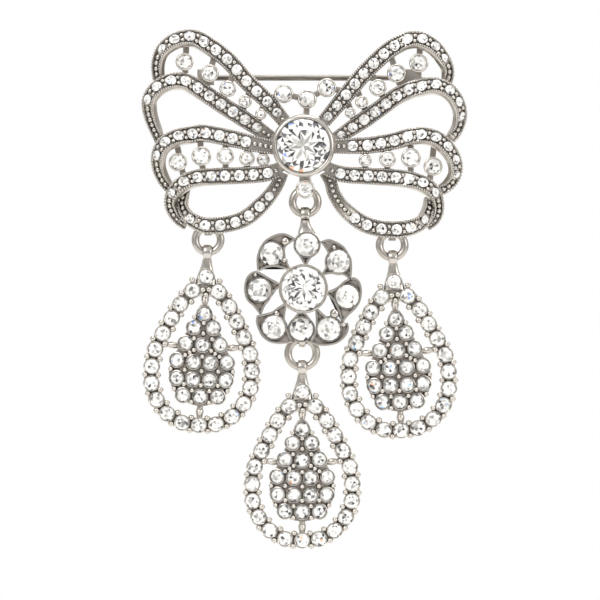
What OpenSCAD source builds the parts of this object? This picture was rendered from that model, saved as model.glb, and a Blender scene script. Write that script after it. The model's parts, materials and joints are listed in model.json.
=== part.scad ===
// Chandelier bow brooch. Millimetres, +Z up, the front faces -Y.
// The origin is the middle of the pin stem.

/* [Bow] */

// Width of a ribbon across its two edges
ribbon_w = 2.6; // [2.3:0.05:3]
// Thickness of a ribbon
ribbon_t = 1.3; // [1.1:0.05:1.6]
// Width of a ribbon's raised edge
ribbon_edge = 0.3; // [0.25:0.05:0.4]
// Diameter of the ribbon stones
ribbon_stone_d = 1.8; // [1.5:0.05:1.85]
// Diameter of the grains between the ribbon stones
grain_d = 0.45; // [0.35:0.05:0.55]
// Thickness of the frame behind the bow
frame_t = 0.6; // [0.5:0.05:0.8]

/* [Centre] */

// Diameter of the centre stone
centre_stone_d = 8.8; // [7.4:0.1:9.2]
// Wall of the centre bezel
centre_wall = 0.85; // [0.7:0.05:1]
// Height of the centre bezel above the bow frame
centre_h = 5.4; // [5.2:0.1:6.4]

/* [Pin] */

// Diameter of the pin stem
pin_d = 1; // [0.85:0.05:1.2]
// Length of the pin stem from its hinge to its point
pin_l = 37; // [36:0.5:41]
// Gap between the stem and the bow frame, for the cloth
cloth_gap = 1.9; // [1.6:0.1:2.4]
// Diameter of the hinge rivet
rivet_d = 0.9; // [0.75:0.05:1.05]

/* [Rings] */

// Outer diameter of the three upper jump rings
ring_d = 5.5; // [5.3:0.1:6]
// Outer diameter of the flower's lower jump ring
low_ring_d = 6; // [5.6:0.1:6.6]
// Wire diameter of the jump rings
ring_wire = 1.3; // [1.1:0.05:1.5]
// Wall of the lugs and bails that the rings hang in
bail_wall = 0.5; // [0.4:0.05:0.6]

/* [Flower] */

// Diameter of the flower's centre stone
flower_stone_d = 7.3; // [6.1:0.1:7.6]
// Diameter of the petal stones
petal_stone_d = 3.9; // [3.3:0.05:4.1]
// Thickness of the flower's plate
flower_t = 1.7; // [1.5:0.1:2.2]

/* [Drops] */

// Width between the outer rows of stones of a drop
drop_w = 16.7; // [16.2:0.1:17.6]
// Diameter of the drop stones
drop_stone_d = 2.3; // [2:0.05:2.45]
// Diameter of the balls beside the drop stones
ball_d = 0.9; // [0.8:0.05:1]
// Thickness of a drop's outer ring
drop_t = 1.7; // [1.5:0.1:2.2]
// Outward lean of the two side drops, in degrees
side_lean = 2.8; // [0:0.2:4]

/* [Hidden] */

$fn = 48;
eps = 0.01;
// joint clearances
glue_gap = 0.03;      // round a stone and under it
floor_gap = 0.06;     // under a stone on a ribbon's curved floor
wall_gap = 0.07;      // beside a stone in a ribbon
solder_gap = 0.02;    // between pieces that are soldered face to face
rivet_gap = 0.03;     // rivet in the stem's eye, radial
side_gap = 0.12;      // hinge cheek to eye
rotor_gap = 0.04;     // rotor in the catch, radial
stem_gap = 0.12;      // stem in the rotor, radial
ring_gap = 0.28;      // ring wire in a lug or a bail, radial

// levels in front of the stem's axis
pin_r = pin_d / 2;
frame_f = pin_r + cloth_gap;
bow_f = frame_f + frame_t;
ring_r = (ring_d - ring_wire) / 2;
low_ring_r = (low_ring_d - ring_wire) / 2;
wire_r = ring_wire / 2;
lug_r = wire_r + ring_gap;
lug_out = lug_r + bail_wall;
lug_l = 1.2;
hang_f = bow_f + 0.4;
lug_back = hang_f + lug_out + 0.2;   // the back of the ribbons over the side lugs
lug_lift = lug_back - bow_f;

// the centre and what hangs, as [x, z]
centre = [-0.1, -11.5];
left_lug = [-16, -25];
right_lug = [14.7, -25.9];
mid_lug = [0.2, -18.7];
flower_from_bail = 12.4;
flower_lug_drop = 8.4;

centre_r = centre_stone_d / 2 + centre_wall;
centre_foot_r = centre_r - 0.8;
centre_foot_h = 3;

// ribbons, each point as [x, z, lift over the frame, share of the width, lean]
left_1 = [[-24, -1.4, 0, 0.6, 10], [-24.3, 0.5, 0.2, 0.66, 34], [-24.3, 2.4, 0.6, 0.74, 42], [-23.5, 4.4, 0.9, 0.85, 40],
    [-21.6, 5.9, 1, 0.95, 32], [-19, 6.5, 0.9, 1, 24], [-16.7, 5.7, 0.6, 1, 12], [-12.8, 2.9, 0.2, 1, 3],
    [-9.5, -0.8, 0, 1, 0], [-6.1, -4.1, 0, 0.95, 0], [-3, -7.7, 0, 0.8, 0]];
left_2 = [[-23.8, -10.9, 0, 0.6, 10], [-24.7, -8.8, 0.2, 0.66, 34], [-25.6, -6.2, 0.8, 0.8, 42], [-25.7, -3.8, 1.4, 0.9, 40],
    [-24.3, -1.9, 1.7, 0.97, 34], [-22.3, -0.9, 1.4, 1, 28], [-20, -0.8, 0.9, 1, 20], [-17.9, -1.8, 0.5, 1, 10],
    [-13.9, -4.5, 0.1, 1, 2], [-9.8, -7.1, 0, 1, 0], [-4.8, -10.5, 0, 0.7, 0]];
left_3 = [[-21.5, -19.2, 0, 0.6, 10], [-23.2, -17.4, 0.2, 0.66, 34], [-24.2, -15, 0.8, 0.8, 42], [-24.1, -12.8, 1.4, 0.9, 40],
    [-23.2, -11.3, 1.7, 0.97, 32], [-21.3, -10.2, 1.4, 1, 24], [-18.9, -9.7, 0.9, 1, 16], [-16.6, -9.4, 0.6, 1, 8],
    [-12.3, -10.2, 0.7, 1, 2], [-8.6, -11.1, 1.4, 0.95, 0], [-4.85, -11.8, 1.4, 0.8, 0]];
left_4 = [[-19.6, -24.9, 0, 0.42, 6], [-20.9, -23.9, 0, 0.5, 12], [-21.9, -22.4, 0, 0.6, 20], [-22.2, -20.7, 0.8, 0.72, 32], [-21.5, -19.1, 1.7, 0.88, 34],
    [-19.9, -17.7, 1.7, 0.97, 26], [-17.8, -16.9, 1.1, 1, 14], [-15.3, -16.6, 0.8, 1, 4], [-10.3, -16.4, 1, 1, 0],
    [-6.4, -16.1, 1.4, 0.95, 0], [-3.75, -15.3, 1.4, 0.8, 0]];
left_5 = [[-3.6, -15.9, 0, 0.7, 0], [-4.5, -18, 0, 0.75, 0], [-5.9, -20, 0, 0.85, 0], [-7.3, -21.5, 0.3, 0.95, 0], [-9, -23, 0.9, 1, 2],
    [-10.9, -24, 1.5, 1, 4], [-13.5, -24.6, lug_lift, 1, 6], [-16.2, -24.7, lug_lift + 0.02, 1, 8], [-18.3, -23.9, 1.7, 0.9, 18],
    [-19.5, -22.7, 1, 0.75, 28], [-20.1, -21.3, 0.2, 0.64, 30], [-20.1, -19.9, 0, 0.58, 14]];
right_1 = [[2.9, -7.9, 0, 0.8, 0], [6.9, -3.1, 0, 0.97, 0], [9.9, 0.5, 0, 1, 0], [13.3, 3.8, 0.2, 1, 3],
    [15.5, 5.3, 0.6, 1, 12], [17.4, 6.1, 0.9, 1, 22], [19.4, 6.1, 1, 1, 30], [21.6, 4.9, 1, 0.93, 36],
    [23.2, 2.9, 0.8, 0.82, 42], [24, 1, 0.3, 0.68, 34], [23.7, -1.1, 0, 0.6, 10]];
right_2 = [[4.6, -10.7, 0, 0.7, 0], [9.6, -7.4, 0, 1, 0], [13.4, -4.7, 0, 1, 0], [15.3, -3.3, 0.3, 1, 4],
    [17.4, -2.3, 0.6, 1, 12], [19.4, -1.8, 1, 1, 20], [21.6, -1.5, 1.4, 1, 28], [23.7, -2.2, 1.7, 0.97, 34],
    [25.3, -3.9, 1.5, 0.9, 40], [26, -6.2, 0.9, 0.8, 42], [25.6, -8.4, 0.3, 0.66, 34], [24.4, -10.4, 0, 0.6, 10]];
right_3 = [[4.7, -11.6, 1.4, 0.8, 0], [8.6, -11.5, 1.4, 0.95, 0], [11.5, -11.3, 0.8, 1, 0], [15, -10.7, 0.6, 1, 6],
    [17.2, -10.1, 0.7, 1, 12], [19.3, -9.8, 1.1, 1, 20], [21.8, -10.3, 1.5, 1, 28], [23.7, -11.8, 1.7, 0.95, 34],
    [25, -13.9, 1.4, 0.88, 40], [25.2, -16, 0.8, 0.78, 42], [24.2, -17.8, 0.2, 0.66, 34], [22.4, -19.1, 0, 0.6, 10]];
right_4 = [[3.7, -15.2, 1.4, 0.8, 0], [6.4, -16.2, 1.4, 0.95, 0], [10.5, -16.5, 1, 1, 0], [15.3, -16.8, 0.8, 1, 4],
    [17.6, -17.2, 1.1, 1, 14], [19.8, -17.9, 1.5, 0.97, 26], [21.5, -19.2, 1.4, 0.88, 34], [22.2, -20.9, 0.6, 0.72, 32],
    [22.3, -22.6, 0, 0.58, 20], [21.7, -24, 0, 0.5, 12], [20.5, -25, 0, 0.42, 6]];
right_5 = [[20.9, -20.2, 0, 0.56, 14], [20.7, -21.8, 0.4, 0.62, 28], [20, -23.6, 1.5, 0.8, 24], [18.8, -24.6, 1.9, 0.93, 16],
    [16.9, -25.2, lug_lift, 1, 8], [14.8, -25.4, lug_lift + 0.02, 1, 6], [12.4, -25.2, 1.7, 1, 4], [10.1, -24.5, 1, 1, 2],
    [8.2, -23.3, 0.5, 0.95, 0], [6.3, -21.5, 0, 0.85, 0], [5, -19.4, 0, 0.76, 0], [4.4, -17.4, 0, 0.72, 0], [3.5, -15.8, 0, 0.7, 0]];
// stones on each ribbon, as [length along it to the first, number, pitch]
stones_l1 = [6.3, 11, 2.45];
stones_l2 = [7.7, 10, 2.4];
stones_l3 = [7.3, 8, 2.35];
stones_l4 = [7.2, 8, 2.4];
stones_l5 = [4.6, 7, 2.5];
stones_r1 = [1.7, 12, 2.35];
stones_r2 = [1.9, 12, 2.3];
stones_r3 = [3.4, 10, 2.38];
stones_r4 = [2.5, 8, 2.35];
stones_r5 = [4.2, 6, 2.45];

// small bezels, as [x, z, outer radius]
crown = [[-3.4, -2.8, 1.6], [0.5, -3.7, 1.6], [3.8, -1.8, 1.6]];
left_upper = [[-19.9, 2.5, 1.5], [-15.7, 0.6, 1.5], [-12.7, -2, 1.4], [-9.8, -4.1, 1.1], [-7.2, -6.2, 0.95]];
left_lower = [[-21, -14.2, 1.55], [-17.1, -13.2, 1.65], [-13.1, -13.2, 1.45], [-9.5, -13.6, 1.3], [-6.8, -13.8, 1.1]];
right_upper = [[19.1, 2.3, 1.6], [15.4, 0.6, 1.6], [12.3, -1.8, 1.45], [9.6, -4.2, 1.1], [7.7, -6, 0.9]];
right_lower = [[21.5, -14.9, 1.6], [17.8, -13.5, 1.65], [13.9, -13.7, 1.4], [10.2, -13.9, 1.1]];
bezel_wall = 0.35;
bezel_h = 2.6;
crown_h = 2.2;

// bars of the frame behind the bow, as [x1, z1, x2, z2]
bars = [
    [-2.5, -8.1, -12.6, 2.7], [-12.6, 2.7, -16.5, 5.5], [-16.5, 5.5, -19, 6.4],
    [-3, -11.7, -9.8, -7.1], [-9.8, -7.1, -17.9, -1.8], [-17.9, -1.8, -20.2, -0.9],
    [-3, -12, -12.3, -10.2], [-12.3, -10.2, -16.6, -9.5], [-16.6, -9.5, -21.5, -10.3],
    [-3, -15, -6.4, -16.1], [-6.4, -16.1, -15.3, -16.6], [-15.3, -16.6, -20, -17.6],
    [2.5, -8.4, 9.9, 0.5], [9.9, 0.5, 13.3, 3.7], [13.3, 3.7, 19.4, 6],
    [3, -11.7, 9.6, -7.4], [9.6, -7.4, 15.3, -3.4], [15.3, -3.4, 21.6, -1.6],
    [3, -11.6, 8.6, -11.5], [8.6, -11.5, 15, -10.7], [15, -10.7, 21.8, -10.3],
    [3, -15, 6.4, -16.2], [6.4, -16.2, 15.3, -16.8], [15.3, -16.8, 20, -17.8],
    [-19.6, 6.4, -19.9, -0.9], [-14.8, 4.2, -16.6, -2.6], [-11.4, 1.4, -13.9, -4.4], [-8.8, -1.5, -10.6, -6.6], [-6.5, -3.9, -8, -8.3],
    [-21.4, -10.3, -19.9, -17.6], [-17.4, -9.7, -16.8, -16.6], [-13.1, -10.2, -13.1, -16.4], [-9.5, -11, -9.5, -16.2], [-7, -11.4, -6.8, -16],
    [19.4, 6, 19, -1.8], [14.2, 4.4, 16.6, -2.8], [10.9, 1.4, 13.7, -4.4], [8.5, -1.2, 10.7, -6.7], [6.9, -3, 8.6, -8],
    [21.8, -10.3, 20.9, -18.2], [17.8, -10.3, 17.8, -17.2], [13.9, -10.9, 13.9, -16.7], [10.2, -11.4, 10.2, -16.4],
    [-3.4, -2.8, 0.5, -3.7], [0.5, -3.7, 3.8, -1.8], [0.5, -3.7, 0.3, -8], [-3.4, -2.8, -6.7, -3.8], [3.8, -1.8, 7.4, -2.4],
];
bar_w = 1;
hinge_x = -16.4;
catch_x = 17.4;
// plates under the hinge and the catch, as [x, z, width, height] from their lower left corners
plates = [[hinge_x - 1.4, -1.3, 2.8, 2.6], [15.4, -1.3, 3.9, 2.6]];

silver = [0.62, 0.6, 0.58];
dark = [0.4, 0.38, 0.36];
crystal = [0.86, 0.9, 0.94];

// ---------- helpers ----------

// children are drawn in the front view, x across and y up, and stand f in front of the stem
module front(f = 0) {
    translate([0, -f, 0]) rotate([90, 0, 0]) children();
}

function unit(v) = v / norm(v);
function mid(a, b, c, d, t) = 0.5 * (2 * b + (c - a) * t + (2 * a - 5 * b + 4 * c - d) * t * t + (3 * b - a - 3 * c + d) * t * t * t);
// the smooth curve through the points
function curve(p, k = 6) = let (n = len(p))
    [for (i = [0 : n - 2]) for (j = [0 : k - 1]) mid(p[max(i - 1, 0)], p[i], p[i + 1], p[min(i + 2, n - 1)], j / k), p[n - 1]];
function lean_r(q) = ribbon_t / 2 * cos(q[4]) + ribbon_w * q[3] / 2 * sin(q[4]);
// [x, y, z, width, lean] at each point of the curve
function place(c) = [for (q = c) [q[0], -(bow_f + solder_gap + q[2] + lean_r(q)), q[1], ribbon_w * q[3], q[4]]];
function xyz(q) = [q[0], q[1], q[2]];
function run(c) = [for (i = 0, s = 0; i < len(c); s = s + (i < len(c) - 1 ? norm(xyz(c[i + 1]) - xyz(c[i])) : 0), i = i + 1) s];
function along(c, s, v) = [for (m = [0 : 4]) lookup(v, [for (i = [0 : len(c) - 1]) [s[i], c[i][m]]])];
// [middle, width direction, outward direction, travel, width] of the ribbon at length v
function station(c, s, v) = let (
        q = along(c, s, v), total = s[len(s) - 1],
        t = unit(xyz(along(c, s, min(v + 0.2, total))) - xyz(along(c, s, max(v - 0.2, 0)))),
        side = unit(cross([0, -1, 0], t)), up = cross(t, side), a = q[4])
    [xyz(q), side * cos(a) - up * sin(a), up * cos(a) + side * sin(a), t, q[3]];

// one ribbon: a channel with two raised edges, swept along its curve
ribbon_step = 1.25;
floor_h = ribbon_t / 2 - 0.5;
module ribbon(points) {
    c = place(curve(points));
    s = run(c);
    total = s[len(s) - 1];
    n = ceil(total / ribbon_step);
    h = ribbon_t / 2;
    e = ribbon_edge;
    rings = [for (i = [0 : n]) let (q = station(c, s, total * i / n), w = q[4] / 2)
        for (p = [[-w, -h], [w, -h], [w, h], [w - e, h], [w - e, floor_h], [e - w, floor_h], [e - w, h], [-w, h]])
            q[0] + q[1] * p[0] + q[2] * p[1]];
    cap = [[0, 1, 4, 5], [1, 2, 3, 4], [5, 6, 7, 0]];
    last = 8 * n;
    polyhedron(rings, concat(cap,
        [for (f = cap) [for (k = [3 : -1 : 0]) f[k] + last]],
        [for (i = [0 : n - 1]) for (k = [0 : 7]) let (a = 8 * i + k, b = 8 * i + (k + 1) % 8) each [[a, a + 8, b + 8], [a, b + 8, b]]]));
}

// puts its child on a ribbon's floor, offset across it
module on_ribbon(c, s, v, across = 0, up = 0) {
    q = station(c, s, v);
    o = q[0] + q[1] * across + q[2] * (floor_h + up);
    multmatrix([[q[3][0], q[1][0], q[2][0], o[0]], [q[3][1], q[1][1], q[2][1], o[1]], [q[3][2], q[1][2], q[2][2], o[2]]]) children();
}

// a round stone on its foot: foot, girdle, crown and table
stone_rise = 0.42;
module stone(d) {
    r = d / 2;
    rotate_extrude() polygon([[0, 0], [0.5 * r, 0], [r, stone_rise * r], [r, (stone_rise + 0.1) * r], [0.58 * r, 0.85 * r], [0, 0.85 * r]]);
}

module ribbon_stones(points, row) {
    c = place(curve(points));
    s = run(c);
    for (i = [0 : row[1] - 1]) let (v = row[0] + i * row[2], room = along(c, s, v)[3] - 2 * ribbon_edge - 2 * wall_gap)
        on_ribbon(c, s, v, 0, floor_gap) stone(min(ribbon_stone_d, room));
}

// the grains that hold the ribbon stones, two at each gap
module grains(points, row) {
    c = place(curve(points));
    s = run(c);
    for (i = [1 : row[1] - 1], side = [-1, 1])
        on_ribbon(c, s, row[0] + (i - 0.5) * row[2], side * 0.42, -0.1) cylinder(d = grain_d, h = 0.45, $fn = 24);
}

module set_ribbon(points, row) union() {
    ribbon(points);
    grains(points, row);
}

// a bezel cup, its back at 0 and its rim at h
module cup(r, h, stone_d, depth) {
    difference() {
        cylinder(r = r, h = h);
        translate([0, 0, h - depth]) cylinder(d = stone_d + 2 * glue_gap, h = depth + 1);
    }
}
function cup_stone_d(r) = 2 * (r - bezel_wall);
function seat(d) = d / 2 * (stone_rise + 0.1) + glue_gap + 0.1;

module bezels(list, h) {
    front(bow_f + solder_gap) for (b = list) translate([b[0], b[1], 0]) cup(b[2], h, cup_stone_d(b[2]), seat(cup_stone_d(b[2])));
}
module bezel_stones(list, h) {
    front(bow_f + solder_gap) for (b = list) translate([b[0], b[1], h - seat(cup_stone_d(b[2])) + glue_gap]) stone(cup_stone_d(b[2]));
}

module bar2d(a) {
    p = [a[0], a[1]];
    v = [a[2], a[3]] - p;
    translate(p) rotate(atan2(v[1], v[0])) translate([0, -bar_w / 2]) square([norm(v), bar_w]);
}

// a short tube round the wire of a ring, centred at [x, z]
module loop_body(p, l) {
    translate([p[0] - l / 2, -hang_f, p[1]]) rotate([0, 90, 0]) cylinder(r = lug_out, h = l);
}
module loop_bore(p, l) {
    translate([p[0] - l / 2 - 1, -hang_f, p[1]]) rotate([0, 90, 0]) cylinder(r = lug_r, h = l + 2);
}
module jump_ring(p, r) {
    translate([p[0], -hang_f, p[1]]) rotate([90, 0, 0]) rotate_extrude() translate([r, 0]) circle(wire_r);
}

// ---------- the bow ----------

module bow_frame() color(dark) front(frame_f) linear_extrude(frame_t) union() {
    for (a = bars) bar2d(a);
    translate(centre) circle(r = centre_foot_r);
    for (p = plates) translate([p[0], p[1]]) square([p[2], p[3]]);
}

// the lugs soldered behind the two lowest ribbons and the neck bezel
module lug(p, f) difference() {
    union() {
        loop_body(p, lug_l);
        front(hang_f) translate([p[0] - lug_l / 2, p[1], 0]) cube([lug_l, lug_out, f - hang_f]);
    }
    loop_bore(p, lug_l);
}
module ring_lugs() color(dark) {
    lug(left_lug, lug_back);
    lug(right_lug, lug_back);
    lug(mid_lug, neck_f - solder_gap);
}

module centre_bezel() color(silver) front(bow_f + solder_gap) translate([centre[0], centre[1], 0]) difference() {
    rotate_extrude() polygon([[0, 0], [centre_foot_r, 0], [centre_foot_r, centre_foot_h], [centre_r, centre_foot_h + 0.4],
        [centre_r, centre_h - 0.4], [centre_r - 0.3, centre_h], [0, centre_h]]);
    translate([0, 0, centre_h - seat(centre_stone_d)]) cylinder(d = centre_stone_d + 2 * glue_gap, h = centre_h);
}
module centre_stone() color(crystal) front(bow_f + solder_gap)
    translate([centre[0], centre[1], centre_h - seat(centre_stone_d) + glue_gap]) stone(centre_stone_d);

module left_ribbon_1() color(silver) set_ribbon(left_1, stones_l1);
module left_ribbon_2() color(silver) set_ribbon(left_2, stones_l2);
module left_ribbon_3() color(silver) set_ribbon(left_3, stones_l3);
module left_ribbon_4() color(silver) { set_ribbon(left_4, stones_l4); set_ribbon(left_5, stones_l5); }
module right_ribbon_1() color(silver) set_ribbon(right_1, stones_r1);
module right_ribbon_2() color(silver) set_ribbon(right_2, stones_r2);
module right_ribbon_3() color(silver) set_ribbon(right_3, stones_r3);
module right_ribbon_4() color(silver) { set_ribbon(right_4, stones_r4); set_ribbon(right_5, stones_r5); }

module left_ribbon_1_stones() color(crystal) ribbon_stones(left_1, stones_l1);
module left_ribbon_2_stones() color(crystal) ribbon_stones(left_2, stones_l2);
module left_ribbon_3_stones() color(crystal) ribbon_stones(left_3, stones_l3);
module left_ribbon_4_stones() color(crystal) { ribbon_stones(left_4, stones_l4); ribbon_stones(left_5, stones_l5); }
module right_ribbon_1_stones() color(crystal) ribbon_stones(right_1, stones_r1);
module right_ribbon_2_stones() color(crystal) ribbon_stones(right_2, stones_r2);
module right_ribbon_3_stones() color(crystal) ribbon_stones(right_3, stones_r3);
module right_ribbon_4_stones() color(crystal) { ribbon_stones(right_4, stones_r4); ribbon_stones(right_5, stones_r5); }

module crown_bezels() color(silver) bezels(crown, crown_h);
module crown_stones() color(crystal) bezel_stones(crown, crown_h);
module left_upper_bezels() color(silver) bezels(left_upper, bezel_h);
module left_upper_stones() color(crystal) bezel_stones(left_upper, bezel_h);
module left_lower_bezels() color(silver) bezels(left_lower, bezel_h);
module left_lower_stones() color(crystal) bezel_stones(left_lower, bezel_h);
module right_upper_bezels() color(silver) bezels(right_upper, bezel_h);
module right_upper_stones() color(crystal) bezel_stones(right_upper, bezel_h);
module right_lower_bezels() color(silver) bezels(right_lower, bezel_h);
module right_lower_stones() color(crystal) bezel_stones(right_lower, bezel_h);

// the small bezel below the centre one, with the neck that joins them
neck_r = 1.6;
neck_f = hang_f + lug_out + 0.1;
neck_h = 2;
module neck_bezel() color(silver) front(neck_f) difference() {
    union() {
        translate([mid_lug[0], mid_lug[1], 0]) cylinder(r = neck_r, h = neck_h);
        translate([mid_lug[0] - 1, mid_lug[1], 0]) cube([2, 4, 1.2]);
    }
    translate([mid_lug[0], mid_lug[1], neck_h - seat(cup_stone_d(neck_r))]) cylinder(d = cup_stone_d(neck_r) + 2 * glue_gap, h = neck_h);
    translate([centre[0], centre[1], -1]) cylinder(r = centre_r + solder_gap, h = neck_h + 2);
}
module neck_stone() color(crystal) front(neck_f)
    translate([mid_lug[0], mid_lug[1], neck_h - seat(cup_stone_d(neck_r)) + glue_gap]) stone(cup_stone_d(neck_r));

// ---------- pin and catch ----------

eye_r = 1.3;
cheek_r = eye_r - 0.1;
eye_h = pin_d;
cheek_t = 0.6;
rivet_r = rivet_d / 2;
cheek_z = eye_h / 2 + side_gap;
module hinge_bracket() color(dark) difference() {
    union() {
        for (z = [cheek_z, -cheek_z - cheek_t]) translate([hinge_x, 0, z]) {
            cylinder(r = cheek_r, h = cheek_t);
            translate([-cheek_r, -frame_f + solder_gap, 0]) cube([2 * cheek_r, frame_f - solder_gap, cheek_t]);
        }
        translate([hinge_x - cheek_r, -frame_f + solder_gap, -cheek_z - eps]) cube([2 * cheek_r, 0.5, 2 * cheek_z + 2 * eps]);
    }
    translate([hinge_x, 0, -cheek_z - cheek_t - 1]) cylinder(r = rivet_r, h = 2 * (cheek_z + cheek_t + 1));
}
module hinge_rivet() color(dark) translate([hinge_x, 0, 0]) {
    half = cheek_z + cheek_t;
    translate([0, 0, -half]) cylinder(r = rivet_r - solder_gap, h = 2 * half);
    for (z = [half + solder_gap, -half - 0.3 - solder_gap]) translate([0, 0, z]) cylinder(r = rivet_r + 0.25, h = 0.3);
    for (z = [half - eps, -half - solder_gap - eps]) translate([0, 0, z]) cylinder(r = rivet_r - solder_gap, h = solder_gap + 2 * eps);
}
tip_l = 5;
taper_l = 3;
module pin_stem() color(silver) {
    shaft = pin_l - eye_r - tip_l - taper_l;
    difference() {
        translate([hinge_x, 0, 0]) union() {
            translate([0, 0, -eye_h / 2]) cylinder(r = eye_r, h = eye_h);
            rotate([0, 90, 0]) cylinder(r = pin_r, h = eye_r + shaft);
            translate([eye_r + shaft, 0, 0]) rotate([0, 90, 0]) cylinder(r1 = pin_r, r2 = pin_r * 0.8, h = taper_l);
            translate([eye_r + shaft + taper_l, 0, 0]) rotate([0, 90, 0]) cylinder(r1 = pin_r * 0.8, r2 = 0.06, h = tip_l);
        }
        translate([hinge_x, 0, -eye_h]) cylinder(r = rivet_r + rivet_gap - solder_gap, h = 2 * eye_h);
    }
}

// the catch: a slotted drum on a foot, and the slotted rotor with a lever that turns inside it
rotor_in = pin_r * 0.8 + stem_gap;
rotor_out = rotor_in + 0.5;
drum_in = rotor_out + rotor_gap;
drum_out = drum_in + 0.5;
drum_l = 1.6;
rotor_l = 2.6;
slot = 2 * rotor_in;
module along_x(x) translate([x, 0, 0]) rotate([0, 90, 0]) children();
module catch_body() color(dark) difference() {
    union() {
        along_x(catch_x - drum_l / 2) cylinder(r = drum_out, h = drum_l);
        translate([catch_x - drum_l / 2, -frame_f + solder_gap, -drum_out * 0.7]) cube([drum_l, frame_f - solder_gap - drum_in, 1.4 * drum_out]);
    }
    along_x(catch_x - drum_l) cylinder(r = drum_in, h = 2 * drum_l);
    translate([catch_x - drum_l, 0, -slot / 2]) cube([2 * drum_l, 2 * drum_out, slot]);
}
lever_l = 1.5;
module catch_rotor() color(silver) difference() {
    union() {
        along_x(catch_x - rotor_l / 2) cylinder(r = rotor_out, h = rotor_l);
        along_x(catch_x + drum_l / 2 + 0.08) cylinder(r = drum_out, h = 0.5);
        along_x(catch_x - drum_l / 2 - 0.58) cylinder(r = drum_out, h = 0.5);
        translate([catch_x + drum_l / 2 + 0.08, -0.4, drum_out - 0.3]) cube([0.5, 0.8, lever_l]);
    }
    along_x(catch_x - rotor_l) cylinder(r = rotor_in, h = 2 * rotor_l);
    translate([catch_x - rotor_l, 0, -slot / 2]) cube([2 * rotor_l, 2 * drum_out, slot]);
}

// ---------- rings ----------

function below(p, r) = [p[0], p[1] - r];
left_ring_c = below(left_lug, ring_r);
right_ring_c = below(right_lug, ring_r);
mid_ring_c = below(mid_lug, ring_r);
flower_bail_c = below(mid_ring_c, ring_r);
flower_c = [flower_bail_c[0] - 0.3, flower_bail_c[1] - flower_from_bail];
low_lug = [flower_c[0] - 0.2, flower_c[1] - flower_lug_drop];
low_ring_c = below(low_lug, low_ring_r);
module left_ring() color(silver) jump_ring(left_ring_c, ring_r);
module right_ring() color(silver) jump_ring(right_ring_c, ring_r);
module flower_ring() color(silver) jump_ring(mid_ring_c, ring_r);
module lower_ring() color(silver) jump_ring(low_ring_c, low_ring_r);

// ---------- the flower ----------

// petals from the flower's centre, as [[x, z] of the stone, [outline of the petal]]
petals = [
    [[0.6, 7.3], [[0.35, 3.3], [1, 4.7], [2.4, 6.2], [0.6, 7.3], [-1.3, 6.3], [-0.3, 4.7]]],
    [[5.8, 4.5], [[2.75, 7.9], [4.2, 8.3], [5.4, 7.9], [6.7, 7.1], [7.6, 5.8], [8.05, 4.6], [8.1, 3.1], [7.9, 1.2], [6.9, 2.1], [5.8, 2.4], [4.2, 2.4],
        [2.7, 2], [3.6, 3.5], [4.05, 4.8], [4.05, 5.8], [3.7, 6.6]]],
    [[7.3, -1.3], [[3.4, -0.6], [5.4, 0.2], [6.7, 1.3], [7.7, 1.8], [8.5, 1.9], [9.3, 1.35], [9.7, 0.2], [9.7, -1.2], [9.3, -2.5], [8.4, -3.7], [7.4, -4.6],
        [6.3, -6.1], [5.9, -4], [5.3, -2.8], [4.7, -1.7]]],
    [[4.25, -6.7], [[1.9, -2.8], [3.75, -4.5], [5.2, -5.3], [6.35, -5.8], [7.4, -5.6], [7.6, -6.5], [7.2, -7.7], [6.25, -8.75], [5, -9.35], [3.3, -9.55],
        [2.1, -9.35], [1, -8.9], [1.75, -7.7], [2.05, -5.8]]],
    [[-0.35, -6.7], [[-0.3, -3.3], [-0.9, -3.9], [-1.9, -5.2], [-0.35, -6.7], [1.3, -5.2], [0.3, -3.9]]],
    [[-4.9, -6.4], [[-2.6, -2.1], [-4.2, -3], [-5.2, -3.75], [-6.45, -4.1], [-7.8, -4.4], [-7.9, -5.6], [-7.5, -6.9], [-6.8, -8.1], [-5.7, -8.9], [-4.4, -9.2],
        [-2.9, -9.15], [-1.7, -8.9], [-2.3, -7.7], [-2.75, -6.4], [-3.1, -4.8]]],
    [[-7.3, -0.2], [[-3.4, 0.7], [-5, 1.5], [-5.9, 2], [-6.9, 2.6], [-7.8, 3], [-8.75, 2.7], [-9.5, 1.9], [-9.85, 0.6], [-9.8, -0.85], [-9.3, -2.1], [-8.3, -3],
        [-7.1, -4.6], [-6.4, -2.9], [-5.6, -1.9], [-5.1, -0.8]]],
    [[-5.3, 5.8], [[-1.1, 8.3], [-2.9, 9.2], [-4.2, 9.2], [-5.4, 8.75], [-6.6, 7.9], [-7.4, 6.45], [-7.8, 5.1], [-7.7, 2.7], [-6, 3.5], [-4.4, 3.6],
        [-1.9, 2.9], [-2.8, 4.8], [-3, 5.8], [-2.9, 7]]]];
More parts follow.
